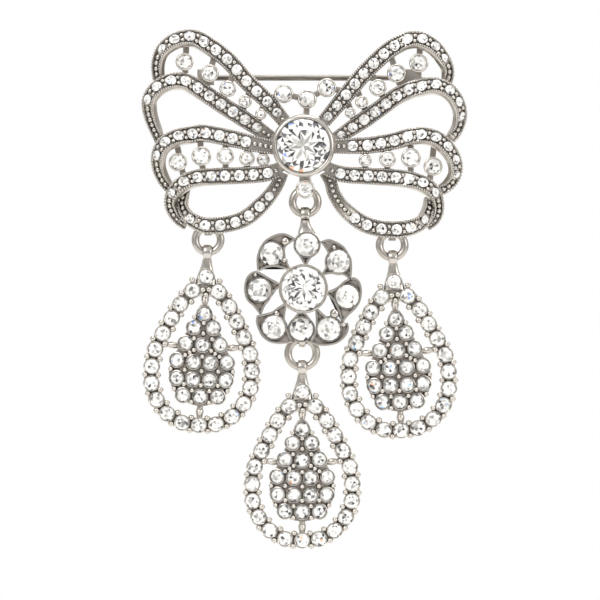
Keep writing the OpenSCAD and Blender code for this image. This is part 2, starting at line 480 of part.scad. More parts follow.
// small balls between the petals, as [x, z, diameter]
petal_balls = [[5.2, -4.1, 1.6], [-3, 7.9, 1.5], [-3.1, 4.7, 1]];
petal_wall = 0.4;
petal_r = petal_stone_d / 2 + petal_wall;
flower_r = flower_stone_d / 2 + 0.4;
flower_f = hang_f + wire_r + 0.35;
bail_l = 1.6;
module strut2d(p, q, w) {
    v = q - p;
    translate(p) rotate(atan2(v[1], v[0])) translate([0, -w / 2]) square([norm(v), w]);
}
neck_w = 1.6;
module flower_frame() color(silver) difference() {
    union() {
        front(flower_f) translate([flower_c[0], flower_c[1], 0]) linear_extrude(flower_t) union() {
            for (p = petals) {
                translate(p[0]) circle(r = petal_r);
                polygon(p[1]);
            }
            for (b = petal_balls) translate([b[0], b[1]]) circle(d = b[2]);
            circle(r = flower_r - 0.2);
        }
        loop_body(flower_bail_c, bail_l);
        front(hang_f - neck_w / 2) linear_extrude(flower_f - hang_f + neck_w / 2 + flower_t)
            polygon([[flower_bail_c[0] - bail_l / 2, flower_bail_c[1] - lug_r - 0.1], [flower_bail_c[0] + bail_l / 2, flower_bail_c[1] - lug_r - 0.1],
                [flower_c[0] + 0.6 + petal_r, flower_c[1] + 8], [flower_c[0] + 0.6 - petal_r, flower_c[1] + 8]]);
        loop_body(low_lug, lug_l);
        front(hang_f) translate([low_lug[0] - lug_l / 2, low_lug[1], 0]) cube([lug_l, lug_out, flower_f - hang_f + flower_t / 2]);
    }
    loop_bore(flower_bail_c, bail_l);
    loop_bore(low_lug, lug_l);
    front(flower_f) translate([flower_c[0], flower_c[1], flower_t - seat(petal_stone_d)]) for (p = petals)
        translate([p[0][0], p[0][1], 0]) cylinder(d = petal_stone_d + 2 * glue_gap, h = 2 * flower_t);
}
module petal_stones() color(crystal) front(flower_f)
    translate([flower_c[0], flower_c[1], flower_t - seat(petal_stone_d) + glue_gap]) for (p = petals) translate([p[0][0], p[0][1], 0]) stone(petal_stone_d);
flower_h = 2.6;
module flower_bezel() color(silver) front(flower_f + flower_t + solder_gap) translate([flower_c[0], flower_c[1], 0])
    cup(flower_r, flower_h, flower_stone_d, seat(flower_stone_d));
module flower_stone() color(crystal) front(flower_f + flower_t + solder_gap)
    translate([flower_c[0], flower_c[1], flower_h - seat(flower_stone_d) + glue_gap]) stone(flower_stone_d);

// ---------- the drops ----------

half_w = drop_w / 2;
// half of the outer row, as [share of the half width, distance below the bail], and its bottom stone
outer_half = [[0.26, 6.5], [0.49, 8.9], [0.65, 11.3], [0.81, 13.9], [0.95, 16.6], [1, 19.45], [0.99, 22.3], [0.87, 25], [0.65, 27.2], [0.34, 28.6]];
outer = concat([for (p = outer_half) [p[0] * half_w, -p[1]]], [[0, -28.85]], [for (i = [9 : -1 : 0]) [-outer_half[i][0] * half_w, -outer_half[i][1]]]);
// the stones of the dome, as [x, distance below the bail]
dome_stones = [[0, 10.3], [-1.6, 12.6], [1.6, 12.6], [-2.9, 15.3], [0, 15.5], [2.9, 15.3], [-4.2, 18.2], [-1.4, 18.4], [1.4, 18.4], [4.2, 18.2],
    [-4.1, 21.2], [-1.4, 21.3], [1.4, 21.3], [4.1, 21.2], [-2.9, 24], [0, 24.1], [2.9, 24]];
set_r = drop_stone_d / 2 + 0.15;
top_stone_z = -4;
dome_r = 5.45;
dome_low = 25.7;
dome_top = 8.6;
dome_t = 1.9;
dome_curve = 15.4;
drop_f = hang_f - drop_t / 2;
rail_w = 1.7;
module drop_frame() difference() {
    union() {
        front(drop_f) linear_extrude(drop_t) union() {
            for (i = [0 : len(outer) - 1]) {
                translate(outer[i]) circle(r = set_r);
                if (i < len(outer) - 1) {
                    strut2d(outer[i], outer[i + 1], rail_w);
                    v = unit(outer[i + 1] - outer[i]);
                    for (side = [-1.15, 1.15]) translate((outer[i] + outer[i + 1]) / 2 + side * [v[1], -v[0]]) circle(d = ball_d);
                }
            }
            translate([0, top_stone_z]) circle(r = set_r + 0.1);
            polygon([[-0.8, -lug_r - 0.1], [0.8, -lug_r - 0.1], [1.9, -5.6], [-1.9, -5.6]]);
            strut2d([-0.26 * half_w, -6.5], [0.26 * half_w, -6.5], 1.2);
        }
        front(drop_f) linear_extrude(drop_t - dome_t / 2 - solder_gap) union() {
            for (side = [-1, 1]) strut2d([side * 0.88 * half_w, -15.6], [side * 3, -15.9], 0.8);
            strut2d([0, -6.5], [0, -11], 0.8);
            strut2d([0, -23], [0, -28.8], 0.8);
        }
        loop_body([0, 0], bail_l);
    }
    loop_bore([0, 0], bail_l);
    front(drop_f) translate([0, 0, drop_t - seat(drop_stone_d)]) for (p = concat(outer, [[0, top_stone_z]]))
        translate([p[0], p[1], 0]) cylinder(d = drop_stone_d + 2 * glue_gap, h = drop_t);
}
module drop_frame_stones() front(drop_f) translate([0, 0, drop_t - seat(drop_stone_d) + glue_gap])
    for (p = concat(outer, [[0, top_stone_z]])) translate([p[0], p[1], 0]) stone(drop_stone_d);

// puts its children on the dome, square to it, d under its face
module on_dome(p, d) {
    a = asin(p[0] / dome_curve);
    front(drop_f + drop_t - dome_t / 2) translate([0, -p[1], dome_t - dome_curve]) rotate([0, a, 0]) translate([0, 0, dome_curve - d]) children();
}
module drop_dome() difference() {
    front(drop_f + drop_t - dome_t / 2) intersection() {
        linear_extrude(dome_t) union() {
            translate([0, dome_r - dome_low]) circle(r = dome_r);
            v = dome_low - dome_r - dome_top - 1;
            a = asin((dome_r - 1) / v);
            polygon([[-dome_r * cos(a), dome_r - dome_low + dome_r * sin(a)], [dome_r * cos(a), dome_r - dome_low + dome_r * sin(a)],
                [cos(a), -dome_top - 1 + sin(a)], [-cos(a), -dome_top - 1 + sin(a)]]);
            translate([0, -dome_top - 1]) circle(r = 1);
        }
        translate([0, 0, dome_t - dome_curve]) rotate([90, 0, 0]) cylinder(r = dome_curve, h = 40, $fn = 96);
    }
    for (p = dome_stones) on_dome(p, seat(drop_stone_d)) cylinder(d = drop_stone_d + 2 * glue_gap, h = dome_t);
}
module drop_dome_stones() for (p = dome_stones) on_dome(p, seat(drop_stone_d) - glue_gap) stone(drop_stone_d);

// hangs a drop's piece on the wire of its ring, leaning by a
module hang(ring, r, a = 0) {
    translate([ring[0], 0, ring[1]]) rotate([0, a, 0]) translate([0, 0, -r]) children();
}
module left_drop_frame() color(silver) hang(left_ring_c, ring_r, side_lean) drop_frame();
module left_drop_frame_stones() color(crystal) hang(left_ring_c, ring_r, side_lean) drop_frame_stones();
module left_drop_dome() color(silver) hang(left_ring_c, ring_r, side_lean) drop_dome();
module left_drop_dome_stones() color(crystal) hang(left_ring_c, ring_r, side_lean) drop_dome_stones();
module right_drop_frame() color(silver) hang(right_ring_c, ring_r, -side_lean) drop_frame();
module right_drop_frame_stones() color(crystal) hang(right_ring_c, ring_r, -side_lean) drop_frame_stones();
module right_drop_dome() color(silver) hang(right_ring_c, ring_r, -side_lean) drop_dome();
module right_drop_dome_stones() color(crystal) hang(right_ring_c, ring_r, -side_lean) drop_dome_stones();
module lower_drop_frame() color(silver) hang(low_ring_c, low_ring_r) drop_frame();
module lower_drop_frame_stones() color(crystal) hang(low_ring_c, low_ring_r) drop_frame_stones();
module lower_drop_dome() color(silver) hang(low_ring_c, low_ring_r) drop_dome();
module lower_drop_dome_stones() color(crystal) hang(low_ring_c, low_ring_r) drop_dome_stones();

// ---------- nodes ----------

bow_frame();
ring_lugs();
centre_bezel();
centre_stone();
left_ribbon_1();
left_ribbon_2();
left_ribbon_3();
left_ribbon_4();
right_ribbon_1();
right_ribbon_2();
right_ribbon_3();
right_ribbon_4();
left_ribbon_1_stones();
left_ribbon_2_stones();
left_ribbon_3_stones();
left_ribbon_4_stones();
right_ribbon_1_stones();
right_ribbon_2_stones();
right_ribbon_3_stones();
right_ribbon_4_stones();
crown_bezels();
crown_stones();
left_upper_bezels();
left_upper_stones();
left_lower_bezels();
left_lower_stones();
right_upper_bezels();
right_upper_stones();
right_lower_bezels();
right_lower_stones();
neck_bezel();
neck_stone();
hinge_bracket();
hinge_rivet();
pin_stem();
catch_body();
catch_rotor();
left_ring();
right_ring();
flower_ring();
lower_ring();
flower_frame();
petal_stones();
flower_bezel();
flower_stone();
left_drop_frame();
left_drop_frame_stones();
left_drop_dome();
left_drop_dome_stones();
right_drop_frame();
right_drop_frame_stones();
right_drop_dome();
right_drop_dome_stones();
lower_drop_frame();
lower_drop_frame_stones();
lower_drop_dome();
lower_drop_dome_stones();
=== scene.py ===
"""Chandelier bow brooch: the visible pieces, their finishes and the studio.

Every piece is modelled in millimetres on its bench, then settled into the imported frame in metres.
The front of the brooch faces -Y and +Z is up; f is a height in front of the pin stem, so y = -f.
"""
import json
import math

import bmesh
import bpy
import numpy as np
from mathutils import Matrix, Vector

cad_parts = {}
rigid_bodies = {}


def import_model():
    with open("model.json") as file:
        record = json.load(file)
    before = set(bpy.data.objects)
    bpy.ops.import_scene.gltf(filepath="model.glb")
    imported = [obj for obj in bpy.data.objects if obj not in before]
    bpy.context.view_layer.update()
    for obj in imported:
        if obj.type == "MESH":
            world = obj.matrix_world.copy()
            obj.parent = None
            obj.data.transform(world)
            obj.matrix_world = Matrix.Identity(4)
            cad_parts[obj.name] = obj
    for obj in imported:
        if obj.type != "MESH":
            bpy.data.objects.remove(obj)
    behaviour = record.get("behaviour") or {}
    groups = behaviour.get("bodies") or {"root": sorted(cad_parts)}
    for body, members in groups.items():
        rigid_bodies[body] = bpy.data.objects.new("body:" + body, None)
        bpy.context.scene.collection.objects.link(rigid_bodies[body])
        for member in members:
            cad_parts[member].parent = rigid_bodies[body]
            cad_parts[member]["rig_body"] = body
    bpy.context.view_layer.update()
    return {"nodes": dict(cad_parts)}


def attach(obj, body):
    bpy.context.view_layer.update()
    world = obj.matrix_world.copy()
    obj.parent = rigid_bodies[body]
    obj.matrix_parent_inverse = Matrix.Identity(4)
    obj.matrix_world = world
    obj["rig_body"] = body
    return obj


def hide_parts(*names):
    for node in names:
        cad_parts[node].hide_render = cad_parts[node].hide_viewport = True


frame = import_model()

bl_info = {
    "name": "Chandelier bow brooch",
    "version": (1, 0, 0),
    "blender": (4, 5, 0),
    "location": "3D View > Sidebar > Brooch",
    "description": "Models the visible pieces of a stone-set bow brooch around its packed frame",
    "category": "Add Mesh",
}

MM = 0.001

# ---------- sizes repeated from the part's source, in millimetres ----------

BOW_F, HANG_F = 3.0, 3.4
RIBBON_W, RIBBON_T, RIBBON_EDGE, FLOOR = 2.6, 1.3, 0.3, 0.15
LUG_LIFT = 1.83
# the solder gap under a piece, the wall of a small cup, and how far a stone stands above its seat
GAP, CUP_WALL, STONE_LIFT = 0.02, 0.35, 0.03
# how far a ribbon's rounded edges stand out past its plain section
OVERHANG = 0.13
# how far the back of a cup, ball or disc lies inside the plate or rail that it grows from
BACK_LIFT = 0.06
CENTRE = (-0.1, -11.5)
LEFT_LUG, RIGHT_LUG, MID_LUG = (-16, -25), (14.7, -25.9), (0.2, -18.7)
RING_R, LOW_RING_R, WIRE_R = 2.1, 2.35, 0.65
LUG_OUT, LUG_BORE = 1.43, 0.93
FLOWER, FLOWER_F, FLOWER_T = (-0.1, -35.3), 4.4, 1.7
LOW_LUG = (-0.3, -43.7)
FLOWER_BAIL = (0.2, -22.9)
DROP_F, DROP_T = 2.55, 1.7

# ribbons, each point as (x, z, lift over the frame, share of the width, lean in degrees)
RIBBONS = {
    "left_1": [
        (-24, -1.4, 0, 0.6, 10), (-24.3, 0.5, 0.2, 0.66, 34), (-24.3, 2.4, 0.6, 0.74, 42),
        (-23.5, 4.4, 0.9, 0.85, 40), (-21.6, 5.9, 1, 0.95, 32), (-19, 6.5, 0.9, 1, 24),
        (-16.7, 5.7, 0.6, 1, 12), (-12.8, 2.9, 0.2, 1, 3), (-9.5, -0.8, 0, 1, 0), (-6.1, -4.1, 0, 0.95, 0),
        (-3, -7.7, 0, 0.8, 0)
    ],
    "left_2": [
        (-23.8, -10.9, 0, 0.6, 10), (-24.7, -8.8, 0.2, 0.66, 34), (-25.6, -6.2, 0.8, 0.8, 42),
        (-25.7, -3.8, 1.4, 0.9, 40), (-24.3, -1.9, 1.7, 0.97, 34), (-22.3, -0.9, 1.4, 1, 28),
        (-20, -0.8, 0.9, 1, 20), (-17.9, -1.8, 0.5, 1, 10), (-13.9, -4.5, 0.1, 1, 2), (-9.8, -7.1, 0, 1, 0),
        (-4.8, -10.5, 0, 0.7, 0)
    ],
    "left_3": [
        (-21.5, -19.2, 0, 0.6, 10), (-23.2, -17.4, 0.2, 0.66, 34), (-24.2, -15, 0.8, 0.8, 42),
        (-24.1, -12.8, 1.4, 0.9, 40), (-23.2, -11.3, 1.7, 0.97, 32), (-21.3, -10.2, 1.4, 1, 24),
        (-18.9, -9.7, 0.9, 1, 16), (-16.6, -9.4, 0.6, 1, 8), (-12.3, -10.2, 0.7, 1, 2),
        (-8.6, -11.1, 1.4, 0.95, 0), (-4.85, -11.8, 1.4, 0.8, 0)
    ],
    "left_4": [
        (-19.6, -24.9, 0, 0.42, 6), (-20.9, -23.9, 0, 0.5, 12), (-21.9, -22.4, 0, 0.6, 20),
        (-22.2, -20.7, 0.8, 0.72, 32), (-21.5, -19.1, 1.7, 0.88, 34), (-19.9, -17.7, 1.7, 0.97, 26),
        (-17.8, -16.9, 1.1, 1, 14), (-15.3, -16.6, 0.8, 1, 4), (-10.3, -16.4, 1, 1, 0),
        (-6.4, -16.1, 1.4, 0.95, 0), (-3.75, -15.3, 1.4, 0.8, 0)
    ],
    "left_5": [
        (-3.6, -15.9, 0, 0.7, 0), (-4.5, -18, 0, 0.75, 0), (-5.9, -20, 0, 0.85, 0),
        (-7.3, -21.5, 0.3, 0.95, 0), (-9, -23, 0.9, 1, 2), (-10.9, -24, 1.5, 1, 4),
        (-13.5, -24.6, LUG_LIFT, 1, 6), (-16.2, -24.7, LUG_LIFT + 0.02, 1, 8), (-18.3, -23.9, 1.7, 0.9, 18),
        (-19.5, -22.7, 1, 0.75, 28), (-20.1, -21.3, 0.2, 0.64, 30), (-20.1, -19.9, 0, 0.58, 14),
        (-19.8, -18.6, 0, 0.56, 4)
    ],
    "right_1": [
        (2.9, -7.9, 0, 0.8, 0), (6.9, -3.1, 0, 0.97, 0), (9.9, 0.5, 0, 1, 0), (13.3, 3.8, 0.2, 1, 3),
        (15.5, 5.3, 0.6, 1, 12), (17.4, 6.1, 0.9, 1, 22), (19.4, 6.1, 1, 1, 30), (21.6, 4.9, 1, 0.93, 36),
        (23.2, 2.9, 0.8, 0.82, 42), (24, 1, 0.3, 0.68, 34), (23.7, -1.1, 0, 0.6, 10)
    ],
    "right_2": [
        (4.6, -10.7, 0, 0.7, 0), (9.6, -7.4, 0, 1, 0), (13.4, -4.7, 0, 1, 0), (15.3, -3.3, 0.3, 1, 4),
        (17.4, -2.3, 0.6, 1, 12), (19.4, -1.8, 1, 1, 20), (21.6, -1.5, 1.4, 1, 28),
        (23.7, -2.2, 1.7, 0.97, 34), (25.3, -3.9, 1.5, 0.9, 40), (26, -6.2, 0.9, 0.8, 42),
        (25.6, -8.4, 0.3, 0.66, 34), (24.4, -10.4, 0, 0.6, 10)
    ],
    "right_3": [
        (4.7, -11.6, 1.4, 0.8, 0), (8.6, -11.5, 1.4, 0.95, 0), (11.5, -11.3, 0.8, 1, 0),
        (15, -10.7, 0.6, 1, 6), (17.2, -10.1, 0.7, 1, 12), (19.3, -9.8, 1.1, 1, 20),
        (21.8, -10.3, 1.5, 1, 28), (23.7, -11.8, 1.7, 0.95, 34), (25, -13.9, 1.4, 0.88, 40),
        (25.2, -16, 0.8, 0.78, 42), (24.2, -17.8, 0.2, 0.66, 34), (22.4, -19.1, 0, 0.6, 10)
    ],
    "right_4": [
        (3.7, -15.2, 1.4, 0.8, 0), (6.4, -16.2, 1.4, 0.95, 0), (10.5, -16.5, 1, 1, 0),
        (15.3, -16.8, 0.8, 1, 4), (17.6, -17.2, 1.1, 1, 14), (19.8, -17.9, 1.5, 0.97, 26),
        (21.5, -19.2, 1.4, 0.88, 34), (22.2, -20.9, 0.6, 0.72, 32), (22.3, -22.6, 0, 0.58, 20),
        (21.7, -24, 0, 0.5, 12), (20.5, -25, 0, 0.42, 6)
    ],
    "right_5": [
        (20.9, -20.2, 0, 0.56, 14), (20.7, -21.8, 0.4, 0.62, 28), (20, -23.6, 1.5, 0.8, 24),
        (18.8, -24.6, 1.9, 0.93, 16), (16.9, -25.2, LUG_LIFT, 1, 8), (14.8, -25.4, LUG_LIFT + 0.02, 1, 6),
        (12.4, -25.2, 1.7, 1, 4), (10.1, -24.5, 1, 1, 2), (8.2, -23.3, 0.5, 0.95, 0),
        (6.3, -21.5, 0, 0.85, 0), (5, -19.4, 0, 0.76, 0), (4.4, -17.4, 0, 0.72, 0), (3.5, -15.8, 0, 0.7, 0)
    ]
}
# stones along each ribbon, as (length to the first, number, pitch)
ROWS = {
    "left_1": (6.3, 11, 2.45), "left_2": (7.7, 10, 2.4), "left_3": (7.3, 8, 2.35), "left_4": (7.2, 8, 2.4),
    "left_5": (4.6, 7, 2.5), "right_1": (1.7, 12, 2.35), "right_2": (1.9, 12, 2.3),
    "right_3": (3.4, 10, 2.38), "right_4": (2.5, 8, 2.35), "right_5": (4.2, 6, 2.45)
}
# the ribbons with a CAD node of their own; 5, the loop's second run, belongs to 4
SIDES = [(side, n) for side in ("left", "right") for n in (1, 2, 3, 4)]

# small bezels, as the height of a group and (x, z, outer radius) of each
BEZELS = {
    "crown": (2.2, [(-3.4, -2.8, 1.6), (0.5, -3.7, 1.6), (3.8, -1.8, 1.6)]),
    "left_upper": (
        2.6, [(-19.9, 2.5, 1.5), (-15.7, 0.6, 1.5), (-12.7, -2, 1.4), (-9.8, -4.1, 1.1), (-7.2, -6.2, 0.95)]
    ),
    "left_lower": (
        2.6,
        [
            (-21, -14.2, 1.55), (-17.1, -13.2, 1.65), (-13.1, -13.2, 1.45), (-9.5, -13.6, 1.3),
            (-6.8, -13.8, 1.1)
        ]
    ),
    "right_upper": (
        2.6, [(19.1, 2.3, 1.6), (15.4, 0.6, 1.6), (12.3, -1.8, 1.45), (9.6, -4.2, 1.1), (7.7, -6, 0.9)]
    ),
    "right_lower": (2.6, [(21.5, -14.9, 1.6), (17.8, -13.5, 1.65), (13.9, -13.7, 1.4), (10.2, -13.9, 1.1)])
}

# petals from the flower's centre, as ((x, z) of the stone, outline of the petal)
PETALS = [
    [[0.6, 7.3], [[0.35, 3.3], [1, 4.7], [2.4, 6.2], [0.6, 7.3], [-1.3, 6.3], [-0.3, 4.7]]],
    [
        [5.8, 4.5],
        [
            [2.75, 7.9], [4.2, 8.3], [5.4, 7.9], [6.7, 7.1], [7.6, 5.8], [8.05, 4.6], [8.1, 3.1], [7.9, 1.2],
            [6.9, 2.1], [5.8, 2.4], [4.2, 2.4], [2.7, 2], [3.6, 3.5], [4.05, 4.8], [4.05, 5.8], [3.7, 6.6]
        ]
    ],
    [
        [7.3, -1.3],
        [
            [3.4, -0.6], [5.4, 0.2], [6.7, 1.3], [7.7, 1.8], [8.5, 1.9], [9.3, 1.35], [9.7, 0.2], [9.7, -1.2],
            [9.3, -2.5], [8.4, -3.7], [7.4, -4.6], [6.3, -6.1], [5.9, -4], [5.3, -2.8], [4.7, -1.7]
        ]
    ],
    [
        [4.25, -6.7],
        [
            [1.9, -2.8], [3.75, -4.5], [5.2, -5.3], [6.35, -5.8], [7.4, -5.6], [7.6, -6.5], [7.2, -7.7],
            [6.25, -8.75], [5, -9.35], [3.3, -9.55], [2.1, -9.35], [1, -8.9], [1.75, -7.7], [2.05, -5.8]
        ]
    ],
    [[-0.35, -6.7], [[-0.3, -3.3], [-0.9, -3.9], [-1.9, -5.2], [-0.35, -6.7], [1.3, -5.2], [0.3, -3.9]]],
    [
        [-4.9, -6.4],
        [
            [-2.6, -2.1], [-4.2, -3], [-5.2, -3.75], [-6.45, -4.1], [-7.8, -4.4], [-7.9, -5.6], [-7.5, -6.9],
            [-6.8, -8.1], [-5.7, -8.9], [-4.4, -9.2], [-2.9, -9.15], [-1.7, -8.9], [-2.3, -7.7],
            [-2.75, -6.4], [-3.1, -4.8]
        ]
    ],
    [
        [-7.3, -0.2],
        [
            [-3.4, 0.7], [-5, 1.5], [-5.9, 2], [-6.9, 2.6], [-7.8, 3], [-8.75, 2.7], [-9.5, 1.9],
            [-9.85, 0.6], [-9.8, -0.85], [-9.3, -2.1], [-8.3, -3], [-7.1, -4.6], [-6.4, -2.9], [-5.6, -1.9],
            [-5.1, -0.8]
        ]
    ],
    [
        [-5.3, 5.8],
        [
            [-1.1, 8.3], [-2.9, 9.2], [-4.2, 9.2], [-5.4, 8.75], [-6.6, 7.9], [-7.4, 6.45], [-7.8, 5.1],
            [-7.7, 2.7], [-6, 3.5], [-4.4, 3.6], [-1.9, 2.9], [-2.8, 4.8], [-3, 5.8], [-2.9, 7]
        ]
    ]
]
PETAL_BALLS = [
    (5.2, -4.1, 1.6), (-3, 7.9, 1.5), (-3.1, 4.7, 1), (-4.4, -4.1, 1.1), (5.1, 6.9, 0.9), (6.7, -6, 0.9),
    (-8, 2.3, 0.8)
]
PETAL_STONE = 3.9

# half of a drop's outer row, as (share of its half width, depth below the bail)
HALF = [
    (0.26, 6.5), (0.49, 8.9), (0.65, 11.3), (0.81, 13.9), (0.95, 16.6), (1, 19.45), (0.99, 22.3), (0.87, 25),
    (0.65, 27.2), (0.34, 28.6)
]
DROP_REACH, DROP_FOOT = 8.35, 28.85
OUTER = [(DROP_REACH * x, -z) for x, z in HALF] + [(0, -DROP_FOOT)] + [
    (-DROP_REACH * x, -z) for x, z in HALF[::-1]
]
# the stones of a drop's dome, as (x, depth below the bail)
DOME_STONES = [
    (0, 10.3), (-1.6, 12.6), (1.6, 12.6), (-2.9, 15.3), (0, 15.5), (2.9, 15.3), (-4.2, 18.2), (-1.4, 18.4),
    (1.4, 18.4), (4.2, 18.2), (-4.1, 21.2), (-1.4, 21.3), (1.4, 21.3), (4.1, 21.2), (-2.9, 24), (0, 24.1),
    (2.9, 24)
]
# the dome's radius at its foot, its lowest and highest depth below the bail, thickness and radius across
DOME_R, DOME_LOW, DOME_TOP, DOME_T, DOME_CURVE = 5.45, 25.7, 8.6, 1.9, 15.4
DROP_STONE, TOP_STONE_Z = 2.3, -4

rng = np.random.default_rng(7)

# ---------- settings a user would change ----------


class BroochSizes(bpy.types.PropertyGroup):
    """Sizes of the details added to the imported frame, in millimetres"""

    bead_d: bpy.props.FloatProperty(
        name="Bead diameter", description="Diameter of a milled bead on a ribbon's edge, in mm", default=0.4,
        min=0.2, max=0.5
    )
    bead_pitch: bpy.props.FloatProperty(
        name="Bead pitch", description="Distance between two milled beads, in mm", default=0.42, min=0.3,
        max=0.8
    )
    grain_d: bpy.props.FloatProperty(
        name="Grain diameter", description="Diameter of a grain between two ribbon stones, in mm",
        default=0.84, min=0.3, max=1.0
    )
    pave_grain_d: bpy.props.FloatProperty(
        name="Dome grain diameter", description="Diameter of a grain between the stones of a dome, in mm",
        default=0.86, min=0.3, max=0.9
    )
    rim_w: bpy.props.FloatProperty(
        name="Leaf rim", description="Width of the raised rim round a petal, in mm", default=0.34, min=0.15,
        max=0.45
    )
    edge_r: bpy.props.FloatProperty(
        name="Cast edge", description="Rounding of the edges of the castings behind the bow, in mm",
        default=0.07, min=0.02, max=0.15
    )


class BroochFinish(bpy.types.PropertyGroup):
    """Colours and polish of the metal"""

    polished: bpy.props.StringProperty(
        name="Polished metal", description="Colour of the plated metal where it is polished, as sRGB hex",
        default="#c9c4bd"
    )
    # the dark end of the metal: its oxide in the hollows, deepened wherever painted shade is laid
    tarnish_and_shade: bpy.props.StringProperty(
        name="Antiqued metal", description="Colour of the metal in its hollows, as sRGB hex",
        default="#4a443f"
    )
    oxide: bpy.props.StringProperty(
        name="Oxide", description="Colour of the blackened channel floors, as sRGB hex", default="#5a544e"
    )
    steel: bpy.props.StringProperty(
        name="Pin steel", description="Colour of the pin stem's wire, as sRGB hex", default="#a39e98"
    )
    polish: bpy.props.FloatProperty(
        name="Roughness", description="Roughness of the polished metal", default=0.22, min=0.05, max=0.6,
        subtype="FACTOR"
    )


def sizes():
    return bpy.context.scene.brooch_sizes


def finish():
    return bpy.context.scene.brooch_finish


# ---------- finishes ----------


def linear(text):
    """The linear colour of an sRGB hex value."""
    parts = [int(text[i : i + 2], 16) / 255 for i in (1, 3, 5)]
    return tuple(c / 12.92 if c <= 0.04045 else ((c + 0.055) / 1.055) ** 2.4 for c in parts) + (1.0,)


def node(tree, kind, links=None, **settings):
    """Adds a node. A setting is one of its properties, or else one of its inputs; links feed its inputs."""
    made = tree.nodes.new(kind)
    for name, value in settings.items():
        if hasattr(made, name):
            setattr(made, name, value)
        else:
            made.inputs[name.replace("_", " ")].default_value = value
    for socket, source in (links or {}).items():
        tree.links.new(source, made.inputs[socket])
    return made


def blank(name):
    """An empty material, its node tree, and the place on the piece in the piece's own frame."""
    material = bpy.data.materials.new(name)
    material.use_nodes = True
    tree = material.node_tree
    tree.nodes.clear()
    return material, tree, node(tree, "ShaderNodeTexCoord").outputs["Object"]


def surface(tree, links, **settings):
    """The material's shader, wired to its output."""
    shader = node(tree, "ShaderNodeBsdfPrincipled", links, **settings)
    node(tree, "ShaderNodeOutputMaterial", {"Surface": shader.outputs["BSDF"]})


def ramp(tree, source, stops):
    """A colour ramp of (place, colour) stops."""
    made = node(tree, "ShaderNodeValToRGB", {"Fac": source})
    band = made.color_ramp.elements
    while len(band) < len(stops):
        band.new(0.5)
    for element, (place, colour) in zip(band, stops):
        element.position, element.color = place, colour
    return made


def plated_metal(name, light, dark, rough, hollow, spread):
    """Cast white metal, plated, blackened and polished back: bright where polished, dark in its hollows.
    The dark is partly its real oxide and partly painted shade, cast by walls and neighbouring parts.

    hollow is how far, in mm, a wall paints shade on what is beside it; spread widens the painted shade.
    """
    material, tree, where = blank(name)
    # clouds of tarnish about 1.5 mm across
    cloud = node(tree, "ShaderNodeTexNoise", {"Vector": where}, Scale=700.0, Detail=3.0, Roughness=0.6)
    # polishing marks and pits of 0.15 mm
    pits = node(tree, "ShaderNodeTexNoise", {"Vector": where}, Scale=6500.0, Detail=2.0, Roughness=0.5)
    # painted shade: an ambient-occlusion mask, varied by the tarnish clouds, darkens the metal where walls
    # and neighbouring parts close in
    shade = node(tree, "ShaderNodeAmbientOcclusion", samples=6, Distance=hollow * MM)
    tarnish_and_shade = node(tree, "ShaderNodeMapRange", {"Value": cloud.outputs["Fac"]}, To_Min=0.82, To_Max=1.18)
    reached = node(
        tree, "ShaderNodeMath", {0: shade.outputs["AO"], 1: tarnish_and_shade.outputs["Result"]}, operation="MULTIPLY"
    )
    # the colour runs from the dark of oxide and painted shade to the polished colour in the open
    colour = ramp(
        tree, reached.outputs[0],
        [
            (0.0, linear(dark)), (0.24 + spread, linear(dark)), (0.6 + spread, linear(light)),
            (1.0, linear(light))
        ]
    )
    polish = node(
        tree, "ShaderNodeMapRange", {"Value": cloud.outputs["Fac"]}, To_Min=rough * 0.75, To_Max=rough * 1.45
    )
    bump = node(tree, "ShaderNodeBump", {"Height": pits.outputs["Fac"]}, Strength=0.12, Distance=0.00004)
    surface(
        tree,
        {
            "Base Color": colour.outputs["Color"], "Roughness": polish.outputs["Result"],
            "Normal": bump.outputs["Normal"]
        },
        Metallic=1.0
    )
    return material


def blackened_and_shaded_metal():
    """The sunk floors, left with their oxide and mottled grey in the open, matt; painted shade blackens them
    round every grain.
    """
    material, tree, where = blank("blackened_cast_metal_with_painted_shade")
    # oxide patches about 0.4 mm across
    mottle = node(tree, "ShaderNodeTexNoise", {"Vector": where}, Scale=2500.0, Detail=3.0, Roughness=0.6)
    # painted shade: an ambient-occlusion mask, varied by the oxide patches, blackens the floor round grains
    # and under walls
    shade = node(tree, "ShaderNodeAmbientOcclusion", samples=6, Distance=0.5 * MM)
    patch = node(tree, "ShaderNodeMapRange", {"Value": mottle.outputs["Fac"]}, To_Min=0.7, To_Max=1.3)
    reached = node(
        tree, "ShaderNodeMath", {0: shade.outputs["AO"], 1: patch.outputs["Result"]}, operation="MULTIPLY"
    )
    # near-black where painted shade falls, the oxide's colour between, and a paler grey in the open
    colour = ramp(
        tree, reached.outputs[0],
        [(0.3, linear("#1d1916")), (0.55, linear(finish().oxide)), (0.85, linear("#98918a"))]
    )
    bump = node(tree, "ShaderNodeBump", {"Height": mottle.outputs["Fac"]}, Strength=0.4, Distance=0.00006)
    surface(
        tree,
        {"Base Color": colour.outputs["Color"], "Normal": bump.outputs["Normal"]}, Metallic=0.8,
        Roughness=0.45
    )
    return material


